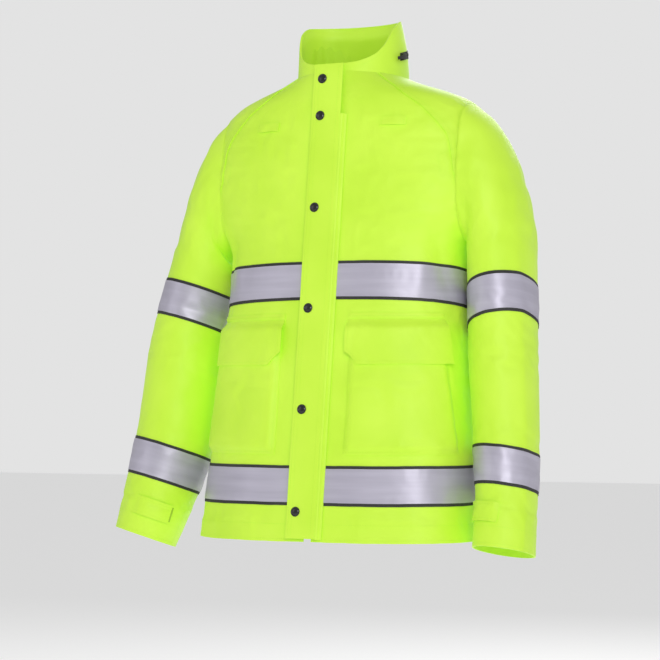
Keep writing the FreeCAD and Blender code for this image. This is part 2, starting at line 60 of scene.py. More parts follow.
coatForm = {
    # height, half width and line of the back, from the hem to the neck
    "torso": [(-728, 230, 28), (-600, 216, 31), (-480, 204, 36), (-380, 197.5, 41), (-290, 197, 47),
              (-225, 226, 51), (-165, 240, 52), (-110, 233, 49), (-75, 217, 44), (-52, 192, 39),
              (-38, 160, 36), (-24, 118, 31), (-10, 84, 25), (5, 50, 19)],
    "torsoRoundness": 2.5,
    "frontTop": (-143, 5),
    "frontHem": (-247, -728),
    "armhole": 200,
    "armholeMiddle": (-0.058, -0.168),      # Y and Z, in metres
    "sideSeam": -59,
    "columns": 148,
    "pitch": 8.5,
}
sleeveForm = {
    # inner X and Z, outer X and Z, middle Y, half depth, forward lean
    "shoulder": [(200.4, -282, 200.4, -56, -58, 74, 0), (203, -291, 240, -88, -59, 76, .02)],
    1: [(203, -302, 275, -160, -60, 76, .05), (202.5, -320, 297, -250, -62, 74, .10),
        (202.5, -352, 303, -345, -65, 71, .18), (207, -450, 311, -452, -79, 66, .20),
        (222, -566, 322, -574, -102, 60, .22), (238, -686, 330, -696, -135, 54, .22),
        (238, -738, 332, -744, -146, 55, .22)],
    -1: [(204, -303, 277, -164, -60, 76, .05), (209, -322, 303, -250, -63, 74, .10),
         (220, -362, 326, -334, -67, 72, .18), (229, -464, 349, -438, -79, 76, .20),
         (238, -586, 358, -556, -102, 70, .22), (268, -706, 370, -678, -135, 60, .22),
         (282, -748, 376, -722, -147, 54, .22)],
    "columns": 54,
    "creaseAngle": -36,
    "creaseTall": {1: 5.5, -1: 2.5},
    "creaseWidth": 20,
}
collarForm = {
    "keys": [(-110, 88, 16), (0, 85.5, 20), (110, 79.5, -27.4)],
    "roundness": 2.3,
    "rim": [(-179, 4), (-143, 5), (-127, 14), (-111, 30), (-87, 62), (-57, 78), (-15, 82), (41, 82)],
    "seamFront": (-143, -80),
    "seamBack": (0, -14),
    "columns": 150,
    "rows": 44,
}
sides = {"left": 1, "right": -1}
frontTop, frontHem = coatForm["frontTop"], coatForm["frontHem"]
frontSlope = (frontTop[0] - frontHem[0]) / (frontTop[1] - frontHem[1])
armholeY, armholeZ = coatForm["armholeMiddle"]
frontLean = math.atan(frontSlope)


def rise(x, a, b):
    t = min(max((x - a) / (b - a), 0.0), 1.0)
    return t * t * (3 - 2 * t)


def frontLine(z):
    # The straight front edge, in metres.
    return frontTop[0] * mm + (z - frontTop[1] * mm) * frontSlope


def frontPoint(x, stand, z):
    return Vector((x, frontLine(z) - stand * math.cos(frontLean), z + stand * math.sin(frontLean)))


def alongKeys(keys, s):
    # A smooth run through rows of numbers that never overshoots them.
    last = len(keys) - 1
    i = min(int(s), last - 1)
    f = s - i
    out = []
    for a in range(len(keys[0])):
        step = keys[i + 1][a] - keys[i][a]
        slopes = []
        for other in ((i - 1, i), (i + 1, i + 2)):
            if other[0] < 0 or other[1] > last:
                slopes.append(step)
                continue
            near = keys[other[1]][a] - keys[other[0]][a]
            slopes.append(2 * near * step / (near + step) if near * step > 0 else 0.0)
        h = 3 * f * f - 2 * f ** 3
        out.append(keys[i][a] * (1 - h) + keys[i + 1][a] * h
                   + slopes[0] * (f ** 3 - 2 * f * f + f) + slopes[1] * (f ** 3 - f * f))
    return out


def levelRing(halfWidth, front, back, roundness, columns):
    # Evenly spaced places round a squared ellipse, from the middle of the back towards the left.
    turn = np.linspace(0, 2 * math.pi, 721)
    s, c = np.sin(turn), np.cos(turn)
    x = halfWidth * np.sign(s) * np.abs(s) ** (2 / roundness)
    y = (front + back) / 2 + (back - front) / 2 * np.sign(c) * np.abs(c) ** (2 / roundness)
    run = np.concatenate([[0], np.cumsum(np.hypot(np.diff(x), np.diff(y)))])
    want = np.linspace(0, run[-1], columns + 1)
    return np.interp(want, run, x), np.interp(want, run, y), run[-1]


def clothGrid(rows, columns, place, part=0.0):
    # A sheet of quads laid over a form; its UV map holds metres along the cloth.
    bm = bmesh.new()
    uv = bm.loops.layers.uv.new("cloth")
    partLayer = bm.verts.layers.float.new("part")
    bmesh.ops.create_grid(bm, x_segments=columns, y_segments=rows, size=0.5)
    where = {}
    for vert in bm.verts:
        j = round((vert.co.x + 0.5) * columns)
        i = round((vert.co.y + 0.5) * rows)
        point, flat = place(i, j)
        where[vert] = flat
        vert.co = point
        vert[partLayer] = part
    for face in bm.faces:
        for loop in face.loops:
            loop[uv].uv = where[loop.vert]
    return bm


def faceOutward(bm, middle):
    bmesh.ops.remove_doubles(bm, verts=bm.verts, dist=1e-5)
    bmesh.ops.recalc_face_normals(bm, faces=bm.faces)
    bm.normal_update()
    lean = sum(f.normal.dot(f.calc_center_median() - Vector(middle)) for f in bm.faces)
    if lean < 0:
        bmesh.ops.reverse_faces(bm, faces=bm.faces)
        bm.normal_update()


def sliceBy(bm, keep):
    # Cuts the cloth along keep = 0 and leaves the side where it is positive.
    value = {}
    for vert in bm.verts:
        k = keep(vert.co)
        value[vert] = 0.0 if abs(k) < 2e-5 else k
    gone = [f for f in bm.faces if all(value[v] <= 0 for v in f.verts)]
    bmesh.ops.delete(bm, geom=gone, context="FACES")
    onLine = set()
    for edge in list(bm.edges):
        a, b = edge.verts
        va, vb = value[a], value[b]
        if va * vb < 0:
            _, new = bmesh.utils.edge_split(edge, a, va / (va - vb))
            value[new] = 0.0
            onLine.add(new)
    if onLine:
        near = {v for f in {f for v in onLine for f in v.link_faces} for v in f.verts if value[v] == 0.0}
        bmesh.ops.connect_verts(bm, verts=list(near))
    gone = [f for f in bm.faces if all(value[v] <= 0 for v in f.verts)]
    bmesh.ops.delete(bm, geom=gone, context="FACES")


print("forms of the coat")

torsoKeys = [tuple(v * mm for v in row) for row in coatForm["torso"]]
torsoRows = []
for i in range(len(torsoKeys) - 1):
    long = math.hypot(torsoKeys[i + 1][0] - torsoKeys[i][0], torsoKeys[i + 1][1] - torsoKeys[i][1])
    count = max(1, round(long / (coatForm["pitch"] * mm)))
    torsoRows += [i + k / count for k in range(count)]
torsoRows.append(len(torsoKeys) - 1.0)
torsoRings = []
for s in torsoRows:
    z, halfWidth, back = alongKeys(torsoKeys, s)
    xs, ys, girth = levelRing(halfWidth, frontLine(z), back, coatForm["torsoRoundness"], coatForm["columns"])
    torsoRings.append((z, halfWidth, back, xs, ys, girth))


def torsoPlace(i, j):
    z, halfWidth, back, xs, ys, girth = torsoRings[i]
    run = sum(math.hypot(torsoRings[k + 1][0] - torsoRings[k][0], torsoRings[k + 1][1] - torsoRings[k][1])
              for k in range(i))
    return Vector((xs[j], ys[j], z)), (j / coatForm["columns"] * 1.15, run)


def torsoWidthAt(z):
    # Half width, front and back of the body at a height.
    zs = [r[0] for r in torsoRings]
    return float(np.interp(z, zs, [r[1] for r in torsoRings])), frontLine(z), \
        float(np.interp(z, zs, [r[2] for r in torsoRings]))


def outsideRing(p, halfWidth, front, back, n):
    # Positive outside a squared ellipse, roughly in metres.
    value = abs(p.x / halfWidth) ** n + abs((p.y - (front + back) / 2) / ((back - front) / 2)) ** n
    return (value ** (1 / n) - 1) * halfWidth


def outsideTorso(p):
    # Positive outside the body's form, negative inside, roughly in metres.
    halfWidth, front, back = torsoWidthAt(min(p.z, torsoKeys[-1][0]))
    n = coatForm["torsoRoundness"]
    return outsideRing(p, halfWidth, front, back, n) + max(0.0, p.z - torsoKeys[-1][0])


def armholeOutline():
    a = coatForm["armhole"] * mm
    n = coatForm["torsoRoundness"]
    places = []
    for k in range(600):
        z, halfWidth, back = alongKeys(torsoKeys, k / 599 * (len(torsoKeys) - 1))
        if halfWidth <= a:
            continue
        front = frontLine(z)
        deep = (back - front) / 2 * (1 - (a / halfWidth) ** n) ** (1 / n)
        for sign in (1, -1):
            y = (front + back) / 2 + sign * deep
            # the hem also flares past the plane, well under the armhole
            if z > -0.3:
                out, up = y - armholeY, z - armholeZ
                places.append((math.atan2(out, up), math.hypot(out, up)))
    places.sort()
    return [p[0] for p in places], [p[1] for p in places]


outlineTurn, outlineReach = armholeOutline()


def armholePoint(side, phi):
    turn = math.atan2(math.sin(phi), math.cos(phi))
    reach = float(np.interp(turn, outlineTurn, outlineReach, period=2 * math.pi))
    return Vector((side * coatForm["armhole"] * mm, armholeY + reach * math.sin(turn),
                   armholeZ + reach * math.cos(turn)))


def sleeveKeys(side):
    return [tuple(v * mm for v in row[:6]) + (row[6],) for row in sleeveForm["shoulder"] + sleeveForm[side]]


def sleeveRing(side, t):
    innerX, innerZ, outerX, outerZ, y, deep, lean = alongKeys(sleeveKeys(side), t)
    inner = Vector((side * innerX, y, innerZ))
    outer = Vector((side * outerX, y, outerZ))
    across = (outer - inner).normalized()
    back = Vector((0, 1, -lean))
    back = (back - across * back.dot(across)).normalized()
    return (inner + outer) / 2, across, back, (outer - inner).length / 2, deep


def sleevePoint(side, t, phi, lift=0.0):
    middle, across, back, half, deep = sleeveRing(side, t)
    crease = math.radians(sleeveForm["creaseAngle"])
    off = abs(math.atan2(math.sin(phi - crease), math.cos(phi - crease)))
    width = math.radians(sleeveForm["creaseWidth"])
    tall = sleeveForm["creaseTall"][side] * mm * rise(t, 2.4, 4.0)
    ridge = tall * (math.exp(-off / width) - 0.35 * math.exp(-(off / (3 * width)) ** 2)) + lift
    round_ = middle + across * ((half + ridge) * math.cos(phi)) + back * ((deep + ridge) * math.sin(phi))
    join = rise(t, 0.0, 2.0)
    if join >= 1.0:
        return round_
    hole = armholePoint(side, phi)
    shift = middle - Vector((side * 0.2, armholeY, armholeZ - 0.001))
    return (hole + shift * 0.96).lerp(round_, join) if t > 0 else hole


firstRow = 0.12         # the sleeve's cloth starts this far along its first stretch; a bridge closes the rest


def sleevePlace(side):
    last = len(sleeveKeys(side)) - 1
    rows = []
    for i in range(last):
        a, b = sleeveRing(side, i)[0], sleeveRing(side, i + 1)[0]
        count = max(2, round((b - a).length / (coatForm["pitch"] * mm)))
        rows += [i + k / count for k in range(count)]
    rows.append(float(last))
    rows[0] = firstRow
    runs = [0.0]
    for a, b in zip(rows[:-1], rows[1:]):
        runs.append(runs[-1] + (sleeveRing(side, b)[0] - sleeveRing(side, a)[0]).length)

    def place(i, j):
        phi = math.pi + 2 * math.pi * j / sleeveForm["columns"]
        return sleevePoint(side, rows[i], phi), (j / sleeveForm["columns"] * 0.4, runs[i])
    return len(rows) - 1, place


def joinArmhole(bm, side):
    edge = [e for e in bm.edges if e.is_boundary]
    x = side * coatForm["armhole"] * mm
    torsoSide = [e for e in edge if all(abs(v.co.x - x) < 1e-4 for v in e.verts)
                 and all(v[part] == 0 for v in e.verts)]
    top = sleeveRing(side, firstRow)[0]
    sleeveSide = [e for e in edge if all(v[part] == side for v in e.verts)
                  and (e.verts[0].co - top).length < 0.2]
    bmesh.ops.bridge_loops(bm, edges=torsoSide + sleeveSide)


master = clothGrid(len(torsoRows) - 1, coatForm["columns"], torsoPlace)
bmesh.ops.remove_doubles(master, verts=master.verts, dist=1e-5)
sliceBy(master, lambda p: coatForm["armhole"] * mm - abs(p.x) if p.z > -0.31 else 1.0)
for side in (1, -1):
    rows, place = sleevePlace(side)
    arm = clothGrid(rows, sleeveForm["columns"], place, float(side))
    bmesh.ops.remove_doubles(arm, verts=arm.verts, dist=1e-5)
    held = bpy.data.meshes.new("sleeveForm")
    arm.to_mesh(held)
    master.from_mesh(held)
    arm.free()
part = master.verts.layers.float["part"]
for side in (1, -1):
    joinArmhole(master, side)
bmesh.ops.recalc_face_normals(master, faces=master.faces)
master.normal_update()
lean = sum(f.normal.dot(f.calc_center_median() - Vector((0, -0.08, -0.4)))
           for f in master.faces if abs(f.calc_center_median().x) < 0.19)
if lean < 0:
    bmesh.ops.reverse_faces(master, faces=master.faces)

print("drape of the cloth")

drapeMake = {
    "frames": 22,
    "spare": -0.022,        # cloth is this much longer than the form, so it buckles a little
    "bend": 3.0,
    "stretch": 18.0,
    "hold": 0.42,           # how firmly every place keeps to the form
    "cap": 11 * mm,
    # bands and hem keep flatter: height and half height on the body; ring and shift on a sleeve
    "stiffLevels": ((-0.333, 0.034), (-0.644, 0.034), (-0.728, 0.012)),
    "stiffRings": ((4, -0.017), (6, -0.052), (8, 0.0)),
}
# soft folds, listed one by one: place, run of the fold, its length, width and depth
folds = [
    ((0.185, -0.135, -0.315), (0.25, 0.1, -1), 0.10, 0.013, -5.0),
    ((0.165, -0.165, -0.300), (-0.25, 0.1, -1), 0.09, 0.012, 3.5),
    ((-0.185, -0.135, -0.315), (-0.3, 0.1, -1), 0.10, 0.014, -5.5),
    ((-0.160, -0.165, -0.300), (0.35, 0.1, -1), 0.09, 0.013, 3.5),
    ((0.250, -0.130, -0.520), (0.9, 0, -0.5), 0.040, 0.009, -3.0),
    ((0.255, -0.128, -0.495), (0.9, 0, -0.2), 0.042, 0.010, 2.0),
    ((0.262, -0.128, -0.470), (0.9, 0, 0.3), 0.034, 0.009, -2.2),
    ((-0.262, -0.140, -0.520), (-0.9, 0, -0.5), 0.045, 0.010, -3.5),
    ((-0.270, -0.138, -0.490), (-0.9, 0, -0.1), 0.045, 0.010, 2.4),
    ((-0.275, -0.135, -0.465), (-0.9, 0, 0.4), 0.036, 0.009, -2.4),
    ((0.225, -0.125, -0.245), (0.75, 0, -0.65), 0.050, 0.012, -3.2),
    ((-0.228, -0.125, -0.250), (-0.75, 0, -0.65), 0.055, 0.012, -3.6),
    ((0.110, -0.200, -0.520), (0.1, 0, -1), 0.120, 0.020, -2.0),
    ((-0.120, -0.195, -0.520), (-0.1, 0, -1), 0.120, 0.020, -2.4),
    ((0.070, 0.038, -0.500), (0.05, 0, -1), 0.170, 0.022, -4.0),
    ((-0.085, 0.036, -0.480), (-0.1, 0, -1), 0.180, 0.022, -4.0),
    ((0.000, 0.046, -0.230), (0.0, 0, -1), 0.130, 0.026, -2.5),
    ((0.150, 0.020, -0.330), (0.35, 0, -1), 0.090, 0.014, -4.0),
    ((-0.150, 0.020, -0.330), (-0.35, 0, -1), 0.090, 0.014, -4.0),
    ((0.270, -0.030, -0.520), (0.8, 0.3, -0.35), 0.045, 0.010, -3.0),
    ((-0.290, -0.030, -0.510), (-0.8, 0.3, -0.35), 0.045, 0.010, -3.0),
]


def foldShift(p):
    out = 0.0
    for place, run, long, wide, deep in folds:
        d = p - Vector(place)
        if abs(d.z) > long * 1.3 + 0.05 or abs(d.y) > 0.07:
            continue
        axis = Vector(run).normalized()
        along = d.dot(axis) / long
        across = (d - axis * d.dot(axis)).length / wide
        if abs(along) < 1 and across < 3:
            out += deep * mm * math.exp(-across * across) * (1 - along * along) ** 2
    return out


def flute(p):
    # The hem swings in and out a little on its way round.
    turn = math.atan2(p.x, -(p.y + 0.1))
    low = rise(-p.z, 0.45, 0.74)
    wave = math.sin(7 * turn + 0.6) * 0.6 + math.sin(11 * turn + 2.1) * 0.4
    return 3.2 * mm * low * wave * rise(abs(p.x), 0.03, 0.10)


def makeObject(name, bm):
    mesh = bpy.data.meshes.new(name)
    bm.to_mesh(mesh)
    bm.free()
    obj = bpy.data.objects.new(name, mesh)
    bpy.context.scene.collection.objects.link(obj)
    return obj


def heldness(p, side):
    # Sewn and stiff places keep to the form.
    firm = drapeMake["hold"]
    firm = max(firm, rise(p.z, -0.10, -0.03))
    if side == 0:
        front = 1 - rise(abs(p.x), 0.035, 0.075)
        if p.y < -0.10:
            firm = max(firm, front)
        for level, tall in drapeMake["stiffLevels"]:
            firm = max(firm, 0.75 * (1 - rise(abs(p.z - level), tall, tall + 0.02)))
    else:
        for ring, shift in drapeMake["stiffRings"]:
            middle, across, back, half, deep = sleeveRing(side, ring)
            off = abs(p.z - middle.z)
            if ring < 8:
                off = abs((p - middle).dot(back.cross(across)) * side - shift)
            firm = max(firm, 0.72 * (1 - rise(off, 0.032, 0.05)))
    return min(firm, 1.0)


def drapeCloth(obj, sideOf):
    mesh = obj.data
    group = obj.vertex_groups.new(name="hold")
    for v in mesh.vertices:
        group.add([v.index], heldness(v.co, sideOf[v.index]), "REPLACE")
    cloth = obj.modifiers.new("drape", "CLOTH")
    s = cloth.settings
    s.quality = 5
    s.mass = 0.12
    s.tension_stiffness = drapeMake["stretch"]
    s.compression_stiffness = drapeMake["stretch"]
    s.shear_stiffness = drapeMake["stretch"] * 0.4
    s.bending_stiffness = drapeMake["bend"]
    s.air_damping = 2.0
    s.vertex_group_mass = "hold"
    s.pin_stiffness = 1.0
    s.shrink_min = drapeMake["spare"]
    s.effector_weights.gravity = 0.6
    cloth.collision_settings.use_collision = False
    cloth.collision_settings.use_self_collision = False
    scene = bpy.context.scene
    cloth.point_cache.frame_start = 1
    cloth.point_cache.frame_end = drapeMake["frames"]
    for frameNumber in range(1, drapeMake["frames"] + 1):
        scene.frame_set(frameNumber)
    done = obj.evaluated_get(bpy.context.evaluated_depsgraph_get())
    out = [v.co.copy() for v in done.data.vertices]
    obj.modifiers.remove(cloth)
    scene.frame_set(1)
    return out


master.normal_update()
sideOf = [int(round(v[part])) for v in master.verts]
sourceObject = makeObject("drapeForm", master)
rest = [v.co.copy() for v in sourceObject.data.vertices]
normals = [v.normal.copy() for v in sourceObject.data.vertices]
draped = rest
draped = drapeCloth(sourceObject, sideOf)
shifted = []
for p, q, n, side in zip(rest, draped, normals, sideOf):
    move = q - p
    if move.length > drapeMake["cap"]:
        move = move * (drapeMake["cap"] / move.length)
    by = foldShift(p)
    if side == 0:
        by += flute(p)
    shifted.append(p + move + n * by * (1 - rise(p.z, -0.16, -0.08)))


def smoother(obj):
    round_ = obj.modifiers.new("smooth", "SUBSURF")
    round_.levels = 1
    round_.render_levels = 1
    return bpy.data.meshes.new_from_object(obj.evaluated_get(bpy.context.evaluated_depsgraph_get()))


fineRest = smoother(sourceObject)
for v, p in zip(sourceObject.data.vertices, shifted):
    v.co = p
sourceObject.data.update()
bpy.context.view_layer.update()
fineDrape = smoother(sourceObject)
bpy.data.objects.remove(sourceObject)


def partCloth(side):
    # The fine cloth of the body or of one sleeve, with its draped places and normals beside the flat ones.
    bm = bmesh.new()
    bm.from_mesh(fineRest)
    hung = bm.verts.layers.float_vector.new("hung")
    out = bm.verts.layers.float_vector.new("out")
    layer = bm.verts.layers.float["part"]
    bm.verts.ensure_lookup_table()
    for v, d in zip(bm.verts, fineDrape.vertices):
        v[hung] = d.co
        v[out] = d.normal
    gone = []
    for f in bm.faces:
        top = max((v[layer] for v in f.verts), key=abs)
        mine = 0 if abs(top) < 0.02 else (1 if top > 0 else -1)
        if mine != side:
            gone.append(f)
    bmesh.ops.delete(bm, geom=gone, context="FACES")
    return bm


cloths = {side: partCloth(side) for side in (0, 1, -1)}

collarKeys = [tuple(v * mm for v in row) for row in collarForm["keys"]]


def collarRow(z):
    # Height, half width and back of the collar at a height.
    s = 0.0 if z < -0.110 else ((z + 0.110) / 0.110)
    k = min(int(s), 1)
    f = s - k
    return [a + (b - a) * f for a, b in zip(collarKeys[k], collarKeys[k + 1])]


def collarPlace(i, j):
    z = (-110 + (110 + 100) * i / collarForm["rows"]) * mm
    row = collarRow(z)
    xs, ys, girth = levelRing(row[1], frontLine(z), row[2], collarForm["roundness"], collarForm["columns"])
    return Vector((xs[j], ys[j], z)), (j / collarForm["columns"] * girth, z)


def rimHeight(y):
    rim = collarForm["rim"]
    s = float(np.interp(y, [r[0] * mm for r in rim], range(len(rim))))
    return alongKeys(rim, s)[1] * mm


collarBm = clothGrid(collarForm["rows"], collarForm["columns"], collarPlace)
faceOutward(collarBm, (0, -0.065, 0))
sliceBy(collarBm, lambda p: rimHeight(p.y) - p.z)
hungLayer = collarBm.verts.layers.float_vector.new("hung")
outLayer = collarBm.verts.layers.float_vector.new("out")
collarBm.normal_update()
for v in collarBm.verts:
    # a soft swell where the rolled hood lies, and a slight slump of the rim
    swell = 2.2 * mm * rise(v.co.y, -0.09, -0.03) * math.sin(math.pi * min(max(v.co.z / 0.075, 0), 1))
    v[hungLayer] = v.co + v.normal * swell
    v[outLayer] = v.normal
cloths["collar"] = collarBm

finders = {}
for name, bm in cloths.items():
    bm.faces.ensure_lookup_table()
    bm.normal_update()
    finders[name] = BVHTree.FromBMesh(bm)


def onCloth(name, p, lift=0.0):
    # The draped place of a point of the flat form, and which way is out there.
    bm = cloths[name]
    place, _, index, _ = finders[name].find_nearest(p)
    face = bm.faces[index]
    weights = poly_3d_calc([v.co for v in face.verts], place)
    hung = bm.verts.layers.float_vector["hung"]
    out = bm.verts.layers.float_vector["out"]
    q = sum((v[hung] * w for v, w in zip(face.verts, weights)), Vector())
    n = sum((v[out] * w for v, w in zip(face.verts, weights)), Vector()).normalized()
    return q + n * lift, n


print("cloth finishes")


def tint(r, g, b):
    # A screen colour, 0 to 255, as the shader wants it.
    out = [v / 255 / 12.92 if v / 255 <= 0.04045 else ((v / 255 + 0.055) / 1.055) ** 2.4 for v in (r, g, b)]
    return (*out, 1.0)


def socket(group, name, kind, inOut, value=None):
    made = group.interface.new_socket(name=name, in_out=inOut, socket_type=kind)
    if value is not None:
        made.default_value = value


def clothWeaveGroup():
    # Threads both ways, soft puckers between them and a slow drift of tone.
    group = bpy.data.node_groups.new("clothWeave", "ShaderNodeTree")
    socket(group, "Vector", "NodeSocketVector", "INPUT")
    socket(group, "Threads", "NodeSocketFloat", "INPUT", 200.0)
    socket(group, "Puckers", "NodeSocketFloat", "INPUT", 28.0)
    socket(group, "Pucker Share", "NodeSocketFloat", "INPUT", 0.5)
    socket(group, "Height", "NodeSocketFloat", "OUTPUT")
    socket(group, "Tone", "NodeSocketFloat", "OUTPUT")
    nodes, links = group.nodes, group.links
    inside = nodes.new("NodeGroupInput")
    outside = nodes.new("NodeGroupOutput")
    waves = []
    for direction in ("X", "Y"):
        wave = nodes.new("ShaderNodeTexWave")
        wave.bands_direction = direction
        wave.inputs["Distortion"].default_value = 0.6
        wave.inputs["Detail"].default_value = 1.0
        links.new(inside.outputs["Vector"], wave.inputs["Vector"])
        links.new(inside.outputs["Threads"], wave.inputs["Scale"])
        waves.append(wave)
    cross = nodes.new("ShaderNodeMath")
    cross.operation = "MULTIPLY"
    for wave, slotIn in zip(waves, cross.inputs):
        links.new(wave.outputs["Fac"], slotIn)
    pucker = nodes.new("ShaderNodeTexNoise")
    pucker.inputs["Detail"].default_value = 3.0
    pucker.inputs["Roughness"].default_value = 0.55
    links.new(inside.outputs["Vector"], pucker.inputs["Vector"])
    links.new(inside.outputs["Puckers"], pucker.inputs["Scale"])
    mix = nodes.new("ShaderNodeMix")
    links.new(inside.outputs["Pucker Share"], mix.inputs["Factor"])
    links.new(cross.outputs[0], mix.inputs["A"])
    links.new(pucker.outputs["Fac"], mix.inputs["B"])
    links.new(mix.outputs["Result"], outside.inputs["Height"])
    drift = nodes.new("ShaderNodeTexNoise")
    drift.inputs["Scale"].default_value = 9.0
    drift.inputs["Detail"].default_value = 2.0
    links.new(inside.outputs["Vector"], drift.inputs["Vector"])
    links.new(drift.outputs["Fac"], outside.inputs["Tone"])
    return group


weaveGroup = clothWeaveGroup()


def finish(name, pale, deep, rough, threads, puckers, share, relief, glow=0.0, coat=0.0, sheen=0.0,
           metallic=0.0, useUv=True, streak=0.0):
    # A cloth finish: two tones that drift into each other, threads and puckers raised by relief in mm.
    mat = bpy.data.materials.new(name)
    mat.use_nodes = True
    nodes, links = mat.node_tree.nodes, mat.node_tree.links
    shader = nodes["Principled BSDF"]
    coords = nodes.new("ShaderNodeTexCoord")
    source = coords.outputs["Object"]
    if useUv:
        uv = nodes.new("ShaderNodeUVMap")
        uv.uv_map = "cloth"
        source = uv.outputs["UV"]
    weave = nodes.new("ShaderNodeGroup")
    weave.node_tree = weaveGroup
    links.new(source, weave.inputs["Vector"])
    weave.inputs["Threads"].default_value = threads
    weave.inputs["Puckers"].default_value = puckers
    weave.inputs["Pucker Share"].default_value = share
    tone = weave.outputs["Tone"]
    if streak:
        line = nodes.new("ShaderNodeTexNoise")
        stretch = nodes.new("ShaderNodeMapping")
        stretch.inputs["Scale"].default_value = (6.0, 90.0, 20.0)
        links.new(source, stretch.inputs["Vector"])
        links.new(stretch.outputs["Vector"], line.inputs["Vector"])
        line.inputs["Scale"].default_value = 1.0
        line.inputs["Detail"].default_value = 3.0
        both = nodes.new("ShaderNodeMix")
        both.inputs["Factor"].default_value = streak
        links.new(tone, both.inputs["A"])
        links.new(line.outputs["Fac"], both.inputs["B"])
        tone = both.outputs["Result"]
    ramp = nodes.new("ShaderNodeValToRGB")
    ramp.color_ramp.elements[0].position = 0.32
    ramp.color_ramp.elements[0].color = deep
    ramp.color_ramp.elements[1].position = 0.68
    ramp.color_ramp.elements[1].color = pale
    links.new(tone, ramp.inputs["Fac"])
    links.new(ramp.outputs["Color"], shader.inputs["Base Color"])
    roughness = nodes.new("ShaderNodeMapRange")
    roughness.inputs["To Min"].default_value = rough[0]
    roughness.inputs["To Max"].default_value = rough[1]
    links.new(weave.outputs["Height"], roughness.inputs["Value"])
    links.new(roughness.outputs["Result"], shader.inputs["Roughness"])
    bump = nodes.new("ShaderNodeBump")
    bump.inputs["Strength"].default_value = 1.0
    bump.inputs["Distance"].default_value = relief * mm
    links.new(weave.outputs["Height"], bump.inputs["Height"])
    links.new(bump.outputs["Normal"], shader.inputs["Normal"])
    shader.inputs["Metallic"].default_value = metallic
    shader.inputs["Coat Weight"].default_value = coat
    shader.inputs["Coat Roughness"].default_value = 0.38
    shader.inputs["Sheen Weight"].default_value = sheen
    # painted glow: the cloth's own colour is also sent out as emission, so it gives off light of its own and
    # looks brighter than the lamps alone make it
    if glow:
        links.new(ramp.outputs["Color"], shader.inputs["Emission Color"])
        shader.inputs["Emission Strength"].default_value = glow
    return mat


finishRows = [
    # use, name, pale, deep, roughness, threads, puckers, share, relief, and what else it has
    # glow is painted light: the lime shell, hood and lime thread send out a little of their own colour as
    # emission
    ("shell", "limeCoatedCloth", (208, 250, 66), (198, 243, 52), (0.46, 0.62), 230, 34, 0.75, 0.55,
     {"glow": 0.10, "coat": 0.10, "sheen": 0.08}),
    ("hood", "limeHoodCloth", (204, 247, 62), (192, 238, 50), (0.5, 0.66), 230, 60, 0.8, 0.9, {"glow": 0.08}),
    ("lining", "paleMeshLining", (206, 208, 206), (186, 189, 188), (0.7, 0.85), 110, 40, 0.25, 0.5,
     {"sheen": 0.1}),
    ("tape", "beadedSilverTape", (197, 193, 209), (181, 177, 193), (0.34, 0.5), 340, 420, 0.7, 0.05,
     {"metallic": 0.25, "coat": 0.12, "streak": 0.75}),
    ("border", "blackWovenBorder", (66, 66, 64), (48, 48, 47), (0.75, 0.9), 330, 120, 0.2, 0.18, {}),
    ("label", "whiteSatinLabel", (236, 235, 230), (226, 225, 220), (0.35, 0.5), 420, 80, 0.3, 0.06,
     {"sheen": 0.2}),
    ("hooks", "hookAndLoopLime", (178, 218, 58), (160, 200, 48), (0.85, 0.95), 260, 600, 0.7, 0.8, {}),
    ("zipTape", "blackZipTape", (44, 44, 44), (30, 30, 30), (0.7, 0.85), 360, 120, 0.2, 0.2, {}),
    ("limeThread", "limeThread", (196, 240, 60), (178, 224, 48), (0.5, 0.6), 900, 500, 0.6, 0.1,
     {"useUv": False, "glow": 0.06}),
    ("blackThread", "blackThread", (58, 58, 58), (40, 40, 40), (0.5, 0.6), 900, 500, 0.6, 0.1,
     {"useUv": False}),
]
finishes = {use: finish(name, tint(*pale), tint(*deep), rough, threads, puckers, share, relief, **more)
            for use, name, pale, deep, rough, threads, puckers, share, relief, more in finishRows}


def hardFinish(name, colour, rough, metallic=0.0, coat=0.0, grain=300.0, relief=0.02):
    # Moulded plastic or metal, with a fine grain and slightly paler patches.
    mat = bpy.data.materials.new(name)
    mat.use_nodes = True
    nodes, links = mat.node_tree.nodes, mat.node_tree.links
    shader = nodes["Principled BSDF"]
    coords = nodes.new("ShaderNodeTexCoord")
    noise = nodes.new("ShaderNodeTexNoise")
    noise.inputs["Scale"].default_value = grain
    noise.inputs["Detail"].default_value = 3.0
    links.new(coords.outputs["Object"], noise.inputs["Vector"])
    ramp = nodes.new("ShaderNodeValToRGB")
    ramp.color_ramp.elements[0].position = 0.35
    ramp.color_ramp.elements[0].color = colour
    ramp.color_ramp.elements[1].position = 0.8
    ramp.color_ramp.elements[1].color = tuple(min(1.0, c * 1.5 + 0.01) for c in colour[:3]) + (1.0,)
    links.new(noise.outputs["Fac"], ramp.inputs["Fac"])
    links.new(ramp.outputs["Color"], shader.inputs["Base Color"])
    roughness = nodes.new("ShaderNodeMapRange")
    roughness.inputs["To Min"].default_value = rough * 0.8
    roughness.inputs["To Max"].default_value = rough * 1.25
    links.new(noise.outputs["Fac"], roughness.inputs["Value"])
    links.new(roughness.outputs["Result"], shader.inputs["Roughness"])
    bump = nodes.new("ShaderNodeBump")
    bump.inputs["Distance"].default_value = relief * mm
    links.new(noise.outputs["Fac"], bump.inputs["Height"])
    links.new(bump.outputs["Normal"], shader.inputs["Normal"])
    shader.inputs["Metallic"].default_value = metallic
    shader.inputs["Coat Weight"].default_value = coat
    return mat


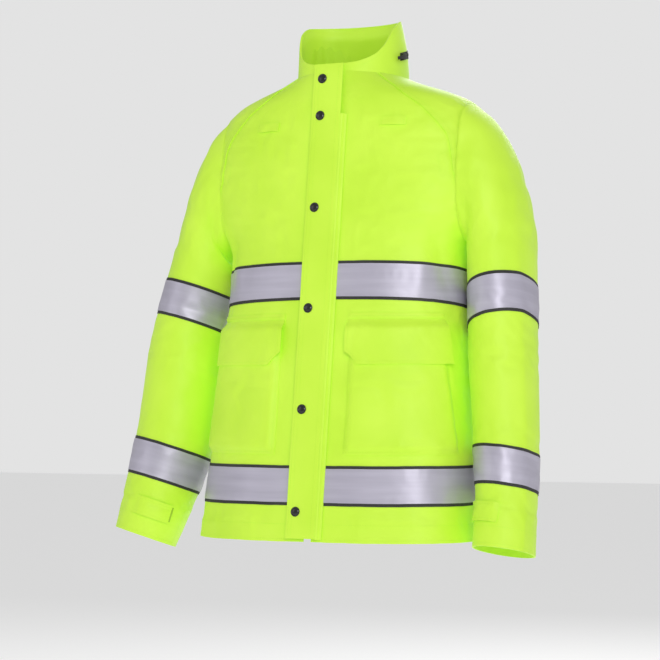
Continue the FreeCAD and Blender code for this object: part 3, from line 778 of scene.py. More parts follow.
finishes["snap"] = hardFinish("blackEnamelSnap", tint(12, 12, 13), 0.26, 0.0, coat=0.35)
finishes["nickel"] = hardFinish("nickelSnap", tint(150, 150, 150), 0.3, 0.9)
finishes["zipPlastic"] = hardFinish("blackMouldedZip", tint(26, 26, 27), 0.35, 0.0, coat=0.2)

print("panels of the shell")

clothSheets = []      # every cloth piece with its name, in the order that it is made


def layOut(bm, lift):
    hung = bm.verts.layers.float_vector["hung"]
    out = bm.verts.layers.float_vector["out"]
    for v in bm.verts:
        stand = lift(v.co) if callable(lift) else lift
        v.co = v[hung] + v[out].normalized() * stand
    for name in ("hung", "out"):
        bm.verts.layers.float_vector.remove(bm.verts.layers.float_vector[name])
    loose = [v for v in bm.verts if not v.link_faces]
    bmesh.ops.delete(bm, geom=loose, context="VERTS")


def thicken(obj, wall):
    # Gives the cloth its thickness, inwards, and keeps only the finished mesh.
    if wall:
        solid = obj.modifiers.new("wall", "SOLIDIFY")
        solid.thickness = wall
        solid.offset = -1.0
        done = bpy.data.meshes.new_from_object(obj.evaluated_get(bpy.context.evaluated_depsgraph_get()))
        obj.modifiers.remove(solid)
        old = obj.data
        obj.data = done
        bpy.data.meshes.remove(old)
    obj.data.shade_smooth()
    obj.data.set_sharp_from_angle(angle=math.radians(48))


def piece(name, bm, look, body, nodes=(), wall=0.0, blend=None):
    obj = makeObject(name, bm)
    obj.data.materials.clear()
    obj.data.materials.append(finishes[look])
    thicken(obj, wall)
    obj.data.name = name
    if blend:
        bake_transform(obj, *blend[:2], start=blend[2], end=blend[3])
    else:
        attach(obj, body)
    if nodes:
        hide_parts(*nodes)
    return obj


def sheetPiece(name, bm, look, node, wall, body="coat_body", blend=None):
    # A piece of cloth with its wall in millimetres; it is kept for the list of flat sizes.
    obj = piece(name, bm, look, body, [node], wall=wall * mm, blend=blend)
    clothSheets.append((name, obj))


def joined(parts):
    # Several cut cloths as one, each through a mesh of its own.
    whole = bmesh.new()
    for bm in parts:
        held = bpy.data.meshes.new("part")
        bm.to_mesh(held)
        bm.free()
        whole.from_mesh(held)
    return whole


def patch(source, keepers, lift=0.0):
    bm = cloths[source].copy()
    for keep in keepers:
        sliceBy(bm, keep)
    layOut(bm, lift)
    return bm


sleeveBlend = {
    side: ("coat_body", "sleeve_" + name + "_body",
           (side * 0.2, armholeY, -0.282), (side * 0.298, armholeY, -0.380))
    for name, side in sides.items()
}

seamForm = {
    "yoke": [(198, -170), (188, -118), (150, -70), (100, -32), (70, -12)],
    "zipGap": (2, 14),
    "lap": 6,
}
yokeZ = [p[1] * mm for p in seamForm["yoke"]]
yokeX = [p[0] * mm for p in seamForm["yoke"]]


def yokeSeamX(z):
    if z < yokeZ[0]:
        return yokeX[0] + (yokeZ[0] - z) * 0.25
    s = float(np.interp(z, yokeZ, range(len(yokeZ))))
    return alongKeys([(x,) for x in yokeX], s)[0]


def inYoke(side):
    return lambda p: side * p.x - yokeSeamX(p.z)


def outsideCollar(p):
    if p.z < -0.11:
        return 1.0
    _, halfWidth, back = collarRow(p.z)
    return outsideRing(p, halfWidth, frontLine(p.z), back, collarForm["roundness"])


def seamDip(distance, deep=0.7, wide=2.4):
    return -deep * mm * math.exp(-(distance / (wide * mm)) ** 2)


def shellLift(p):
    out = seamDip(p.y - coatForm["sideSeam"] * mm)
    for side in (1, -1):
        out -= 1.3 * mm * rise(inYoke(side)(p), -0.0045, 0.0005)
    return out


gap0, gap1 = (v * mm for v in seamForm["zipGap"])
sideY = coatForm["sideSeam"] * mm
underYoke = seamForm["lap"] * mm
panelWall = 1.4         # millimetres


def isFront(p):
    return sideY - p.y


def isBack(p):
    return p.y - sideY


def clearOfCollar(p):
    return outsideCollar(p) + 0.0015


def notYoke(side):
    return lambda p: underYoke - inYoke(side)(p)


def yokeLift(side):
    return lambda p: 0.25 * mm + 0.35 * mm * (1 - rise(inYoke(side)(p), 0.002, 0.012))


def frontEdge(side):
    return (lambda p: p.x - gap1) if side > 0 else (lambda p: gap0 - p.x)


for name, side in sides.items():
    bm = patch(0, [frontEdge(side), isFront, clearOfCollar, notYoke(side)], shellLift)
    sheetPiece("frontPanel." + name, bm, "shell", "front_panel_" + name, panelWall)
    bm = patch(0, [inYoke(side), clearOfCollar], yokeLift(side))
    sheetPiece("shoulderYoke." + name, bm, "shell", "shoulder_yoke_" + name, panelWall)
    sheetPiece("sleeve." + name, patch(side, []), "shell", "sleeve_" + name, panelWall,
               blend=sleeveBlend[side])
bm = patch(0, [isBack, clearOfCollar, notYoke(1), notYoke(-1)], shellLift)
sheetPiece("backPanel", bm, "shell", "back_panel", panelWall)

print("collar and linings")

hemLevel = coatForm["torso"][0][0] * mm


def notTorso(p):
    return outsideTorso(p) + 0.003


def collarFrontGap(p):
    return max(p.x - gap1, gap0 - p.x) if p.y < -0.12 else 1.0


def liningGap(p):
    return abs(p.x - 0.008) - 0.024 if p.y < -0.10 else 1.0


def neckSeamHeight(y):
    y0, z0 = (v * mm for v in collarForm["seamFront"])
    y1, z1 = (v * mm for v in collarForm["seamBack"])
    return z0 + (y - y0) * (z1 - z0) / (y1 - y0)


def aboveNeckSeam(p):
    return p.z - neckSeamHeight(p.y)


def collarLiningLift(p):
    deep = 3.2 + 9.0 * rise(p.y, -0.12, 0.0)
    fromRim = rimHeight(p.y) - p.z
    return -(2.4 + (deep - 2.4) * rise(fromRim, 0.001, 0.016)) * mm


bm = patch("collar", [notTorso, collarFrontGap],
           lambda p: 0.5 * mm * (1 - rise(rimHeight(p.y) - p.z, 0.001, 0.005)) * -1)
sheetPiece("collarShell", bm, "shell", "collar_shell", 1.9)
bm = patch("collar", [aboveNeckSeam, liningGap, lambda p: rimHeight(p.y) - 0.0006 - p.z], collarLiningLift)
sheetPiece("collarLining", bm, "shell", "collar_lining", 0.9)
bm = patch(0, [lambda p: p.z - hemLevel - 0.034, liningGap, clearOfCollar], -4.2 * mm)
sheetPiece("torsoLining", bm, "lining", "torso_lining", 0.7)
bm = patch(0, [lambda p: hemLevel + 0.030 - p.z, liningGap], -1.9 * mm)
sheetPiece("hemFacing", bm, "shell", "hem_facing", 1.0)


def sleeveSquare(side, ring):
    middle, across, back, half, deep = sleeveRing(side, ring)
    along = across.cross(back).normalized() * side
    back = along.cross(across).normalized() * side
    return middle, across * side, back, along


for name, side in sides.items():
    last = len(sleeveKeys(side)) - 1
    middle, across, back, along = sleeveSquare(side, last)
    bm = patch(side, [lambda p: 0.034 - (p - middle).dot(along)], -1.9 * mm)
    sheetPiece("cuffFacing." + name, bm, "shell", "cuff_facing_" + name, 1.0,
               blend=sleeveBlend[side])


hoodY = -0.066          # middle of the collar, front to back


def hoodRoll():
    # The hood, rolled up and shut in the back of the collar: a flattened roll with closed ends.
    hood = {"around": 96, "section": 20, "half": 3.6, "low": 0.012, "top": 0.012}
    bm = bmesh.new()
    uv = bm.loops.layers.uv.new("cloth")
    bmesh.ops.create_grid(bm, x_segments=hood["around"], y_segments=hood["section"], size=0.5)
    spots = {v: (v.co.x + 0.5, v.co.y + 0.5) for v in bm.verts}
    _, halfWidth, back = [a + (b - a) * 0.2 for a, b in zip(collarKeys[1], collarKeys[2])]
    for v, (u, w) in spots.items():
        turn = math.radians(-97 + 194 * u)
        y = hoodY + (back - hoodY) * math.cos(turn)
        low = neckSeamHeight(y) + hood["low"]
        top = rimHeight(y) - hood["top"]
        end = math.sqrt(max(0.0, 1 - abs(2 * u - 1) ** 8))
        a = 2 * math.pi * w
        tall = (top - low) / 2 * (0.25 + 0.75 * end)
        level = (top + low) / 2 + tall * math.sin(a)
        fat = hood["half"] * mm * end * (1 + 0.12 * math.sin(26 * turn + 2 * a))
        k = max(0.0, level / 0.110)
        rowX = halfWidth + (collarKeys[2][1] - collarKeys[1][1]) * (k - 0.2)
        rowBack = back + (collarKeys[2][2] - collarKeys[1][2]) * (k - 0.2)
        outward = Vector((math.sin(turn), math.cos(turn), 0))
        form = Vector((rowX * math.sin(turn), hoodY + (rowBack - hoodY) * math.cos(turn), level))
        squeeze = 7.2 - 2.6 * abs(math.sin(turn))
        v.co = form - outward * (squeeze * mm - fat * math.cos(a))
    for f in bm.faces:
        for loop in f.loops:
            loop[uv].uv = (spots[loop.vert][0] * 0.36, spots[loop.vert][1] * 0.14)
    bmesh.ops.remove_doubles(bm, verts=bm.verts, dist=2e-5)
    bmesh.ops.holes_fill(bm, edges=[e for e in bm.edges if e.is_boundary])
    bmesh.ops.recalc_face_normals(bm, faces=bm.faces)
    return bm


hood = piece("hoodRoll", hoodRoll(), "hood", "coat_body", ["hood_roll"])

collarZip = {"middle": (0, -0.0836, 0.017), "normal": (0, -0.24192, 0.9703), "tape": 6.0, "front": -0.073,
             "toothPitch": 2.6, "tooth": (0.8 * mm, 2.3 * mm, 0.6 * mm)}
zipMiddle, zipNormal = Vector(collarZip["middle"]), Vector(collarZip["normal"])
bm = patch("collar", [lambda p: collarZip["tape"] * mm - abs((p - zipMiddle).dot(zipNormal)),
                      lambda p: p.y - collarZip["front"]], 1.0 * mm)
sheetPiece("collarZipTape", bm, "zipTape", "collar_zip_tape", 0.7)

print("bands")

bandForm = {
    "trim": 60, "tape": 50.8,
    "chest": (-327, 0.10), "hem": (-644, 0.0),
    "front": (-20, 32),
    "sleeve": [(4, -17), (6, -52)],
    # the upper band of the left sleeve dips at its sides: extra lean, tilt and drop
    "dip": {(1, 4): (0.10, 0.13, -7)},
}


def bandGap(p):
    low, high = (v * mm for v in bandForm["front"])
    return max(low - p.x, p.x - high) if p.y < -0.12 else 1.0


def bandKeep(level, fall, tall):
    return lambda p: tall / 2 * mm - abs(p.z - (level * mm - fall * (p.y + 0.25)))


def bandSquare(side, ring):
    # The square frame of a sleeve band, with the dip that it hangs in.
    middle, across, back, along = sleeveSquare(side, ring)
    lean, tilt, drop = bandForm["dip"].get((side, ring), (0.0, 0.0, 0.0))
    outward = across * side
    along = (along + back * lean - outward * tilt).normalized()
    return middle + along * drop * mm, across, back, along


bandLayers = (("trim", "border", "black_trim", 1.0, 0.7), ("tape", "tape", "reflective_tape", 1.7, 0.5))
for band in ("chest", "hem"):
    level, fall = bandForm[band]
    for kind, look, slotName, lift, wall in bandLayers:
        bm = patch(0, [bandKeep(level, fall, bandForm[kind]), bandGap], lift * mm)
        sheetPiece(band + "Band" + kind.title(), bm, look, band + "_band_" + kind, wall)
for name, side in sides.items():
    for kind, look, slotName, lift, wall in bandLayers:
        both = []
        for ring, shift in bandForm["sleeve"]:
            middle, across, back, along = bandSquare(side, ring)
            half = bandForm[kind] / 2 * mm
            keep = [lambda p: half - abs((p - middle).dot(along) - shift * mm)]
            both.append(patch(side, keep, lift * mm))
        sheetPiece("sleeveBand" + kind.title() + "." + name, joined(both), look,
                   "sleeve_band_" + kind + "_" + name, wall, blend=sleeveBlend[side])

print("pockets")

pocketForm = {
    "edge": 57, "rear": -139, "top": -408, "low": -598, "deep": 7.4,
    "flapTop": -394, "flapLow": -462, "flapCorner": 20, "flapOver": 4, "flapStand": 10.2,
    "weltTop": -383,
}


def pocketEdges(side, grow, top, low):
    f = pocketForm
    return [lambda p: side * p.x - (f["edge"] - grow) * mm, lambda p: (f["rear"] + grow) * mm - p.y,
            lambda p: top * mm - p.z, lambda p: p.z - low * mm]


def insideBy(edges, p):
    return min(e(p) for e in edges)


f = pocketForm
for name, side in sides.items():
    edges = pocketEdges(side, 0, f["top"], f["low"])

    def bagLift(p):
        inside = insideBy(edges, p)
        sag = 0.8 * mm * math.sin((p.z + 0.5) * 38) * rise(inside, 0.01, 0.05)
        return (0.6 + (f["deep"] - 0.6) * rise(inside, 0.0, 0.011)) * mm + sag

    bm = patch(0, edges, bagLift)
    sheetPiece("pocket." + name, bm, "shell", "pocket_" + name, 1.0)
    edges = pocketEdges(side, f["flapOver"], f["flapTop"] + 1, f["flapLow"])

    def corner(p):
        return side * p.x - (f["edge"] - f["flapOver"]) * mm + p.z - (f["flapLow"] + f["flapCorner"]) * mm

    flapEdges = edges + [lambda p: corner(p) * 0.7071]

    def flapLift(p):
        down = f["flapTop"] * mm - p.z
        inside = min(insideBy([edges[0], edges[1], edges[3]], p), corner(p))
        roll = 0.5 * mm * (1 - rise(inside, 0.0, 0.004))
        return (2.2 + (f["flapStand"] - 2.2) * rise(down, -0.001, 0.014)) * mm - roll

    bm = patch(0, flapEdges, flapLift)
    flapBend = ("coat_body", "pocket_flap_" + name + "_body",
                (side * 0.135, -0.19, -0.3925), (side * 0.135, -0.19, -0.4015))
    sheetPiece("pocketFlap." + name, bm, "shell", "pocket_flap_" + name, 1.5, blend=flapBend)
welts, loops = [], []
for side in (1, -1):
    edges = pocketEdges(side, f["flapOver"], f["weltTop"], f["flapTop"] + 0.5)
    welts.append(patch(0, edges, lambda p: (1.1 + 1.8 * rise(insideBy(edges, p), 0.0, 0.004)) * mm))
    loops.append(patch(0, [lambda p: 0.050 - abs(side * p.x - 0.132) - 0.025, lambda p: f["rear"] * mm - p.y,
                           lambda p: 0.012 - abs(p.z + 0.444)], 8.3 * mm))
sheetPiece("pocketWelts", joined(welts), "shell", "pocket_flap_welts", 1.0)
sheetPiece("pocketLoopPatches", joined(loops), "hooks", "pocket_loop_patches", 0.5)

print("storm flap and zip")

flapForm = {
    "free": -26, "sewn": 22.9, "top": 3, "low": -724, "stand": 7.0, "wall": 2.0,
    "snapX": -11, "snapHeights": [-20, -78, -221, -376, -530, -684],
    "puff": 0.9,
}


def puff(z):
    # The flap swells a little between one snap and the next.
    heights = [flapForm["top"]] + flapForm["snapHeights"] + [flapForm["low"] - 40]
    for a, b in zip(heights[:-1], heights[1:]):
        if b <= z / mm <= a:
            return math.sin(math.pi * (a - z / mm) / (a - b)) ** 2 * min(1.0, (a - b) / 120)
    return 0.0


def frontStrip(x0, x1, z0, z1, rows, columns, stand):
    def place(i, j):
        x = x0 + (x1 - x0) * j / columns
        z = z0 + (z1 - z0) * i / rows
        return frontPoint(x * mm, stand(x, z * mm) * mm, z * mm), (x * mm, z * mm)
    bm = clothGrid(rows, columns, place)
    bmesh.ops.recalc_face_normals(bm, faces=bm.faces)
    bm.normal_update()
    if sum(face.normal.y for face in bm.faces) > 0:
        bmesh.ops.reverse_faces(bm, faces=bm.faces)
    return bm


def flapStand(x, z):
    fromEdge = min(x - flapForm["free"], flapForm["sewn"] - x)
    wave = puff(z) * flapForm["puff"] * (1 - ((x - flapForm["snapX"]) / 40) ** 2)
    return flapForm["stand"] + wave - 0.5 * (1 - rise(fromEdge, 0, 2.5))


bm = frontStrip(flapForm["free"], flapForm["sewn"], flapForm["low"], flapForm["top"], 184, 24, flapStand)
flapBlend = ("coat_body", "storm_flap_body", (0.0240, -0.2007, -0.359), (0.0175, -0.2007, -0.359))
sheetPiece("stormFlap", bm, "shell", "storm_flap", flapForm["wall"], blend=flapBlend)


def weltStand(x, z=0.0):
    return 7.0 - 5.6 * rise(x, 24.5, 31.5)


bm = frontStrip(23.2, 32.0, -725, -76, 160, 6, weltStand)
sheetPiece("stormFlapWelt", bm, "shell", "storm_flap_welt", 1.2)
for name, side in sides.items():
    near = 8 + side * 1.2
    far = near + side * 14
    bm = frontStrip(min(near, far), max(near, far), -718, -1, 150, 4, lambda x, z: -3.6)
    sheetPiece("zipTape." + name, bm, "zipTape", "zip_tape_" + name, 0.8)


def snapCaps():
    # Domed caps with a rolled rim, on a short rivet.
    bm = bmesh.new()
    profile = [(0.0, 2.15), (2.4, 2.05), (4.2, 1.72), (5.3, 1.25), (5.7, 0.98), (6.2, 1.25), (6.8, 1.42),
               (7.25, 1.2), (7.5, 0.7), (7.3, 0.2), (6.6, 0.0), (2.5, 0.0), (2.5, -2.4), (0.0, -2.4)]
    for z in flapForm["snapHeights"]:
        verts = [bm.verts.new((r * mm, 0, (h + 7.0) * mm)) for r, h in profile]
        edges = [bm.edges.new((a, b)) for a, b in zip(verts[:-1], verts[1:])]
        bmesh.ops.spin(bm, geom=verts + edges, cent=(0, 0, 0), axis=(0, 0, 1), angle=2 * math.pi, steps=40,
                       use_merge=True)
        fresh = list({v for v in bm.verts if v.tag is False})
        at = frontPoint(flapForm["snapX"] * mm, 0, z * mm)
        lean = Matrix.Translation(at) @ Matrix.Rotation(math.pi / 2 - frontLean, 4, "X")
        bmesh.ops.transform(bm, matrix=lean, verts=fresh)
        for v in fresh:
            v.tag = True
    bmesh.ops.remove_doubles(bm, verts=bm.verts, dist=2e-6)
    bmesh.ops.recalc_face_normals(bm, faces=bm.faces)
    return bm


piece("snapCaps", snapCaps(), "snap", "storm_flap_body", ["snap_caps"])

print("small cloth parts")

tabForm = {"x": (86, 126), "z": (-96, -83), "stand": 2.6}
for name, side in sides.items():
    low, high = tabForm["x"]
    edges = [lambda p: side * p.x - low * mm, lambda p: high * mm - side * p.x, lambda p: -0.069 - p.y,
             lambda p: tabForm["z"][1] * mm - p.z, lambda p: p.z - tabForm["z"][0] * mm]

    def tabLift(p):
        across = (side * p.x / mm - low) / (high - low)
        sewn = min(1.0, 3.2 * min(across, 1 - across))
        return (1.5 + (tabForm["stand"] - 1.5) * sewn) * mm

    sheetPiece("micTab." + name, patch(0, edges, tabLift), "shell", "mic_tab_" + name, 1.2)
    last = len(sleeveKeys(side)) - 1
    middle, across, back, along = sleeveSquare(side, last - 1)
    outward = across * side
    near = [lambda p: -0.010 - (p - middle).dot(back),
            lambda p: 0.015 - abs((p - middle).dot(along))]
    tabEdges = near + [lambda p: 0.006 - (p - middle).dot(outward),
                       lambda p: 0.044 + (p - middle).dot(outward)]

    def cuffLift(p):
        d = (p - middle).dot(outward)
        return (3.4 - 1.6 * rise(d, -0.004, 0.006)) * mm

    sheetPiece("cuffTab." + name, patch(side, tabEdges, cuffLift), "shell", "cuff_tab_" + name,
               1.5, body="cuff_tab_" + name + "_body")
    loopEdges = [near[0], lambda p: 0.012 - abs((p - middle).dot(along)),
                 lambda p: -(p - middle).dot(outward), lambda p: 0.046 + (p - middle).dot(outward)]
    sheetPiece("cuffLoop." + name, patch(side, loopEdges, 1.2 * mm), "hooks",
               "cuff_loop_patch_" + name, 0.8, body="sleeve_" + name + "_body")


def hangLoop():
    loop = {"half": 26, "tall": 7, "front": -3.0, "back": 2.0}

    def place(i, j):
        x = -loop["half"] + 2 * loop["half"] * j / 40
        end = rise(abs(x), loop["half"] - 7, loop["half"] - 2)
        y = loop["front"] + (loop["back"] - loop["front"]) * end
        z = -loop["tall"] * (1 - i / 4)
        return Vector((x * mm, y * mm, z * mm)), (x * mm, z * mm)
    bm = clothGrid(4, 40, place)
    if bm.faces[:][0].normal.y > 0:
        bmesh.ops.reverse_faces(bm, faces=bm.faces)
    return bm


sheetPiece("hangLoop", hangLoop(), "border", "hang_loop", 1.2)


def neckLabel():
    def place(i, j):
        x = -24 + 48 * j / 16
        z = -48 + 35 * i / 16
        y = 3.1 + 0.5 * math.sin(i / 16 * 2.4) * math.cos(x / 24)
        return Vector((x * mm, y * mm, z * mm)), (x * mm, z * mm)
    return clothGrid(16, 16, place)


sheetPiece("neckLabel", neckLabel(), "label", "neck_label", 0.5)

print("stitching")

stitchForm = {"long": 2.7, "pitch": 3.7, "wide": 0.42, "tall": 0.34}


def pathPoints(points, pitch):
    # Even places along a run of points.
    runs = [0.0]
    for a, b in zip(points[:-1], points[1:]):
        runs.append(runs[-1] + (b - a).length)
    out = []
    count = int(runs[-1] / pitch)
    k = 0
    for i in range(count):
        want = (i + 0.5) * pitch
        while runs[k + 1] < want:
            k += 1
        share = (want - runs[k]) / max(1e-9, runs[k + 1] - runs[k])
        out.append((points[k].lerp(points[k + 1], share), (points[k + 1] - points[k]).normalized()))
    return out


def bead(bm, place, along, out, halves):
    # A small rounded grain, longest along its run.
    turn = Matrix((along, out.cross(along), out)).transposed().to_4x4()
    bmesh.ops.create_icosphere(bm, subdivisions=1, radius=1.0,
                               matrix=Matrix.Translation(place) @ turn @ Matrix.Diagonal((*halves, 1)))


def sew(bm, source, points, lift):
    # A row of stitches that lies on the draped cloth.
    for at, run in pathPoints(points, stitchForm["pitch"] * mm):
        if source is None:
            place, ahead, out = at, at + run * mm, Vector((0, -1, 0.14)).normalized()
        else:
            place, out = onCloth(source, at, lift * mm)
            ahead, _ = onCloth(source, at + run * mm, lift * mm)
        along = ahead - place
        if along.length < 1e-6:
            continue
        along = (along - out * along.dot(out)).normalized()
        bead(bm, place, along, out, [stitchForm[way] / 2 * mm for way in ("long", "wide", "tall")])


def onFront(x, z, back=False):
    # The flat form's surface over a place seen from the front or the back.
    start, near, way = (0.4, 0.04, -1) if back else (-0.5, -0.2, 1)
    hit = finders[0].ray_cast(Vector((x, start, z)), Vector((0, way, 0)))[0]
    return hit if hit is not None else finders[0].find_nearest(Vector((x, near, z)))[0]


def aroundBody(level, fall=0.0, part=(0.0, 1.0)):
    # A row round the body at a height, over part of the way from the middle of the back.
    out = []
    for k in range(181):
        share = part[0] + (part[1] - part[0]) * k / 180
        halfWidth, front, back = torsoWidthAt(level)
        xs, ys, _ = levelRing(halfWidth, front, back, coatForm["torsoRoundness"], 360)
        x, y = np.interp(share * 360, range(361), xs), np.interp(share * 360, range(361), ys)
        out.append(Vector((x, y, level - fall * (y + 0.25))))
    return out


def aroundSleeve(side, ring, shift, frameOf=sleeveSquare):
    # A row round a sleeve, square to it at one of its rings.
    middle, across, back, along = frameOf(side, ring)
    _, _, _, half, deep = sleeveRing(side, ring)
    row = []
    for k in range(121):
        a = 2 * math.pi * k / 120
        p = middle + across * math.cos(a) * half + back * math.sin(a) * deep
        row.append(p + along * (shift * mm - (p - middle).dot(along)))
    return row


bodyThread = bmesh.new()
blackThread = bmesh.new()
for side in (1, -1):
    # two rows beside the yoke seam, front and back
    for back in (False, True):
        for beside in (2.2, 8.0):
            row = []
            for k in range(61):
                z = (-166 + (166 - 26) * k / 60) * mm
                row.append(onFront(side * (yokeSeamX(z) + beside * mm), z, back))
            sew(bodyThread, 0, row, 1.0)
    # side seam
    for heights in (np.linspace(-0.365, -0.610, 60), np.linspace(-0.677, -0.724, 12)):
        line = [Vector((side * torsoWidthAt(z)[0], sideY - 0.0035, z)) for z in heights]
        sew(bodyThread, 0, line, 0.25)
    # pocket edges and mouth
    f = pocketForm
    x0 = f["edge"] + 3.5
    line = [onFront(side * x0 * mm, z * mm) for z in np.linspace(f["top"] - 5, f["low"] + 4, 40)]
    line += [onFront(side * x * mm, (f["low"] + 3.5) * mm) for x in np.linspace(x0, 168, 30)]
    sew(bodyThread, 0, line, 3.4)
    line = [onFront(side * x * mm, (f["flapTop"] + 5.5) * mm) for x in np.linspace(f["edge"] - 2, 166, 30)]
    sew(bodyThread, 0, line, 3.1)
    # mic tab ends
    for x in (89, 123):
        sew(bodyThread, 0, [onFront(side * x * mm, z * mm) for z in (-95, -90, -84)], 1.9)
for above in (0.026, 0.004):
    for part in ((0.0, 0.483), (0.512, 1.0)):
        sew(bodyThread, 0, aroundBody(hemLevel + above, 0.0, part), 0.2)
for band in ("chest", "hem"):
    level, fall = bandForm[band]
    for edge in (28.0, -28.0):
        for part in ((0.0, 0.474), (0.518, 1.0)):
            row = [p for p in aroundBody((level + edge) * mm, fall, part) if abs(p.x) < 0.2 or p.z < -0.45]
            sew(blackThread, 0, row, 1.15)
# collar: a row along the rim
rimRow = []
for k in range(141):
    turn = math.radians(-148 + 296 * k / 140)
    y = hoodY + 0.085 * math.cos(turn)
    rimRow.append(Vector((0.084 * math.sin(turn), y, rimHeight(y) - 0.006)))
sew(bodyThread, "collar", rimRow, 0.25)
piece("stitchesBody", bodyThread, "limeThread", "coat_body")
piece("stitchesBands", blackThread, "blackThread", "coat_body")

flapThread = bmesh.new()
for x in (flapForm["free"] + 4, flapForm["free"] + 9.5, flapForm["sewn"] - 7):
    line = [frontPoint(x * mm, (flapStand(x, z * mm) + 0.1) * mm, z * mm) for z in np.linspace(-720, 0, 240)]
    sew(flapThread, None, line, 0)
piece("stitchesFlap", flapThread, "limeThread", "storm_flap_body")
weltThread = bmesh.new()
line = [frontPoint(27.0 * mm, (weltStand(27.0) + 0.1) * mm, z * mm)
        for z in np.linspace(-722, -82, 200)]
sew(weltThread, None, line, 0)
piece("stitchesWelt", weltThread, "limeThread", "coat_body")

for name, side in sides.items():
    last = len(sleeveKeys(side)) - 1
    sleeveThread = bmesh.new()
    for shift in (5, 30):
        sew(sleeveThread, side, aroundSleeve(side, last, shift), 0.2)
    under = [sleevePoint(side, t, math.pi + 0.06) for t in np.linspace(1.2, last - 0.05, 90)]
    sew(sleeveThread, side, under, 0.2)
    piece("stitchesSleeve." + name, sleeveThread, "limeThread", None,
          blend=sleeveBlend[side])
    bandThread = bmesh.new()
    for ring, shift in bandForm["sleeve"]:
        for edge in (28.0, -28.0):
            sew(bandThread, side, aroundSleeve(side, ring, shift + edge, bandSquare), 1.15)
    piece("stitchesSleeveBands." + name, bandThread, "blackThread", None,
          blend=sleeveBlend[side])
    f = pocketForm
    low, x0, x1 = f["flapLow"] + 4, f["edge"] - f["flapOver"] + 4, 170
    flapRow = bmesh.new()
    heights = np.linspace(f["flapTop"] - 3, low + f["flapCorner"] - 2, 14)
    line = [onFront(side * x0 * mm, z * mm) for z in heights]
    for k in range(31):
        x = x0 + f["flapCorner"] - 2 + k * (x1 - x0 - 18) / 30
        line.append(onFront(side * x * mm, low * mm))
    sew(flapRow, 0, line, f["flapStand"] + 0.1)
    piece("stitchesPocketFlap." + name, flapRow, "limeThread", "pocket_flap_" + name + "_body")
    middle, across, back, along = sleeveSquare(side, last - 1)
    outward = across * side
    _, _, _, half, deep = sleeveRing(side, last - 1)
    corners = [(3, -11), (-41, -11), (-41, 11), (3, 11)]
    line = []
    for (xa, za), (xb, zb) in zip(corners, corners[1:]):
        for k in range(10):
            x, z = xa + (xb - xa) * k / 10, za + (zb - za) * k / 10
            y = -deep * math.sqrt(max(0.05, 1 - (x * mm / half) ** 2))
            line.append(middle + outward * x * mm + back * y + along * z * mm)
    tabThread = bmesh.new()
    sew(tabThread, side, line, 3.5)
    piece("stitchesCuffTab." + name, tabThread, "limeThread", "cuff_tab_" + name + "_body")


def zipHeight(y):
    return zipMiddle.z - (y - zipMiddle.y) * zipNormal.y / zipNormal.z


zipCoil = bmesh.new()
zipLine = []
for k in range(400):
    turn = math.pi * (k / 399 * 2 - 1)
    p = Vector((0.086 * math.sin(turn), hoodY + 0.08 * math.cos(turn), 0))
    if p.y < collarZip["front"] + 0.001:
        continue
    p.z = zipHeight(p.y)
    near = finders["collar"].find_nearest(p)[0]
    near.z = zipHeight(near.y)
    zipLine.append(near)
for at, run in pathPoints(zipLine, collarZip["toothPitch"] * mm):
    place, out = onCloth("collar", at, 1.2 * mm)
    along = (run - out * run.dot(out)).normalized()
    bead(zipCoil, place, along, out, collarZip["tooth"])
piece("collarZipCoil", zipCoil, "zipPlastic", "coat_body")

# small hard pieces that keep their own shape and only change their finish
hardNodes = {
    "zipPlastic": ("zip_teeth_left", "zip_teeth_right", "zip_top_stops", "zip_retainer_box", "main_slider",
                   "main_pull", "collar_slider", "collar_pull"),
    "nickel": ("snap_sockets", "snap_studs"),
}
for look, names in hardNodes.items():
    for node in names:
        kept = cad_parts[node]
        kept.data.materials.clear()
        kept.data.materials.append(finishes[look])

print("stage, light and camera")

stageForm = {"floor": -1.30, "size": 16.0, "tone": tint(240, 240, 240)}
floorBm = bmesh.new()
bmesh.ops.create_grid(floorBm, x_segments=1, y_segments=1, size=stageForm["size"])
bmesh.ops.translate(floorBm, verts=floorBm.verts, vec=(0, 0, stageForm["floor"]))
floor = makeObject("floor", floorBm)
floorLook = bpy.data.materials.new("paleFloor")
floorLook.use_nodes = True
floorShader = floorLook.node_tree.nodes["Principled BSDF"]
floorShader.inputs["Base Color"].default_value = stageForm["tone"]
floorShader.inputs["Roughness"].default_value = 0.9
floorShader.inputs["Emission Color"].default_value = stageForm["tone"]
floorShader.inputs["Emission Strength"].default_value = 0.36
floor.data.materials.append(floorLook)

world = bpy.data.worlds.new("studio")
bpy.context.scene.world = world
world.use_nodes = True
worldNodes, worldLinks = world.node_tree.nodes, world.node_tree.links
ambient = worldNodes["Background"]
ambient.inputs["Strength"].default_value = 0.42
ambient.inputs["Color"].default_value = (1.0, 1.0, 1.0, 1.0)
sweep = worldNodes.new("ShaderNodeBackground")
sweep.inputs["Strength"].default_value = 0.96
path = worldNodes.new("ShaderNodeLightPath")
pick = worldNodes.new("ShaderNodeMixShader")
worldLinks.new(path.outputs["Is Camera Ray"], pick.inputs["Fac"])
worldLinks.new(ambient.outputs["Background"], pick.inputs[1])
worldLinks.new(sweep.outputs["Background"], pick.inputs[2])
worldLinks.new(pick.outputs["Shader"], worldNodes["World Output"].inputs["Surface"])

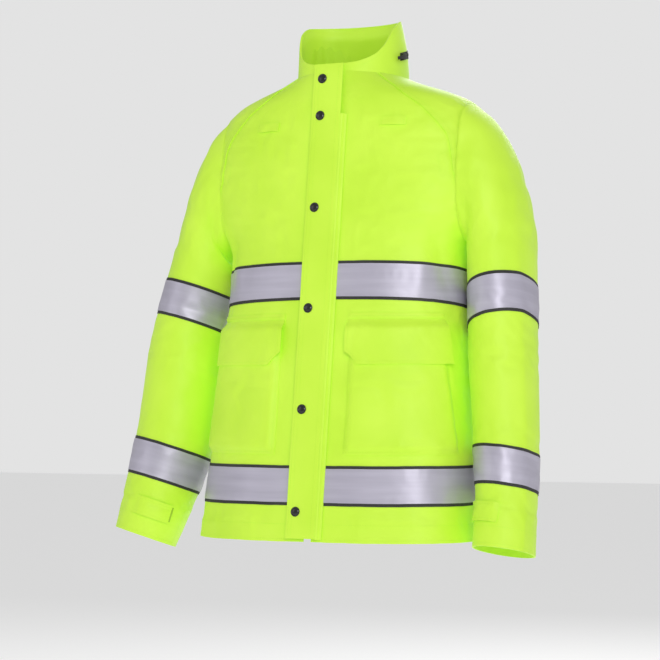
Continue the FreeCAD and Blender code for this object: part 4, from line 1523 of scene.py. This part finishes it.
lights = [
    # name, place, power, size
    ("keyPanel", (2.1, -3.4, 1.0), 55, 1.5),
    ("fillPanel", (-2.6, -2.6, 0.8), 9, 1.8),
    ("backPanelLight", (-0.4, 2.8, 1.4), 42, 1.8),
]
for name, at, power, size in lights:
    lamp = bpy.data.lights.new(name, "AREA")
    lamp.energy = power
    lamp.size = size
    holder = bpy.data.objects.new(name, lamp)
    holder.location = at
    holder.rotation_euler = (Vector((0, -0.08, -0.35)) - Vector(at)).to_track_quat("-Z", "Y").to_euler()
    bpy.context.scene.collection.objects.link(holder)

cameraForm = {"at": (1.3946, -3.078, -0.515), "lens": 114.65, "shift": (-0.0258, 0.106)}
lensData = bpy.data.cameras.new("camera")
lensData.lens = cameraForm["lens"]
lensData.sensor_width = 36
lensData.shift_x, lensData.shift_y = cameraForm["shift"]
camera = bpy.data.objects.new("camera", lensData)
camera.location = cameraForm["at"]
camera.rotation_euler = (math.radians(90), 0, math.radians(25))
bpy.context.scene.collection.objects.link(camera)
bpy.context.scene.camera = camera
bpy.context.scene.view_settings.view_transform = "Standard"

clothCut = {
    # piece: cut width and length in metres, the cut's area where it isn't a rectangle, how it is held
    "frontPanel.left": (0.300, 0.735, 0.181, "hung"), "frontPanel.right": (0.315, 0.735, 0.193, "hung"),
    "backPanel": (0.500, 0.735, 0.326, "hung"), "shoulderYoke": (0.165, 0.240, 0.026, "hung"),
    "sleeve.left": (0.430, 0.700, 0.220, "hung"), "sleeve.right": (0.460, 0.720, 0.243, "hung"),
    "collarShell": (0.470, 0.130, 0.0385, "hung"), "collarLining": (0.450, 0.130, 0.044, "hung"),
    "torsoLining": (1.150, 0.690, 0.660, "hung"), "hemFacing": (1.190, 0.030, None, "laid"),
    "cuffFacing": (0.330, 0.034, None, "laid"), "collarZipTape": (0.285, 0.012, None, "laid"),
    "chestBandTrim": (1.000, 0.060, None, "laid"), "chestBandTape": (1.000, 0.0508, None, "laid"),
    "hemBandTrim": (1.145, 0.060, None, "laid"), "hemBandTape": (1.145, 0.0508, None, "laid"),
    "sleeveBandTrim.left": (0.735, 0.060, None, "laid"), "sleeveBandTape.left": (0.735, 0.0508, None, "laid"),
    "sleeveBandTrim.right": (0.825, 0.060, None, "laid"),
    "sleeveBandTape.right": (0.825, 0.0508, None, "laid"),
    "pocket": (0.185, 0.190, None, "laid"), "pocketFlap": (0.182, 0.068, None, "hung"),
    "pocketWelts": (0.360, 0.011, None, "laid"), "pocketLoopPatches": (0.120, 0.024, None, "laid"),
    "stormFlap": (0.049, 0.735, None, "hung"), "stormFlapWelt": (0.012, 0.656, None, "laid"),
    "zipTape": (0.014, 0.724, None, "hung"), "micTab": (0.041, 0.013, None, "laid"),
    "cuffTab": (0.060, 0.030, None, "hung"), "cuffLoop": (0.056, 0.024, None, "laid"),
    "neckLabel": (0.048, 0.035, None, "hung"),
}
laidOn = {"sleeveBandTrim": "sleeve", "sleeveBandTape": "sleeveBandTrim", "cuffFacing": "sleeve",
          "cuffLoop": "sleeve", "chestBandTape": "chestBandTrim", "hemBandTape": "hemBandTrim",
          "collarZipTape": "collarShell", "pocket": "frontPanel", "micTab": "frontPanel"}
for name, obj in clothSheets:
    base, _, hand = name.partition(".")
    if name not in clothCut and base not in clothCut:
        continue                                    # the hang loop is a narrow tape
    width, long, area, held = clothCut.get(name, clothCut.get(base))
    under = laidOn.get(base)
    under = [] if not under else [under + ("." + hand if hand else "")]
    if held == "laid" and not under:
        under = ["backPanel"]
bpy.context.view_layer.update()
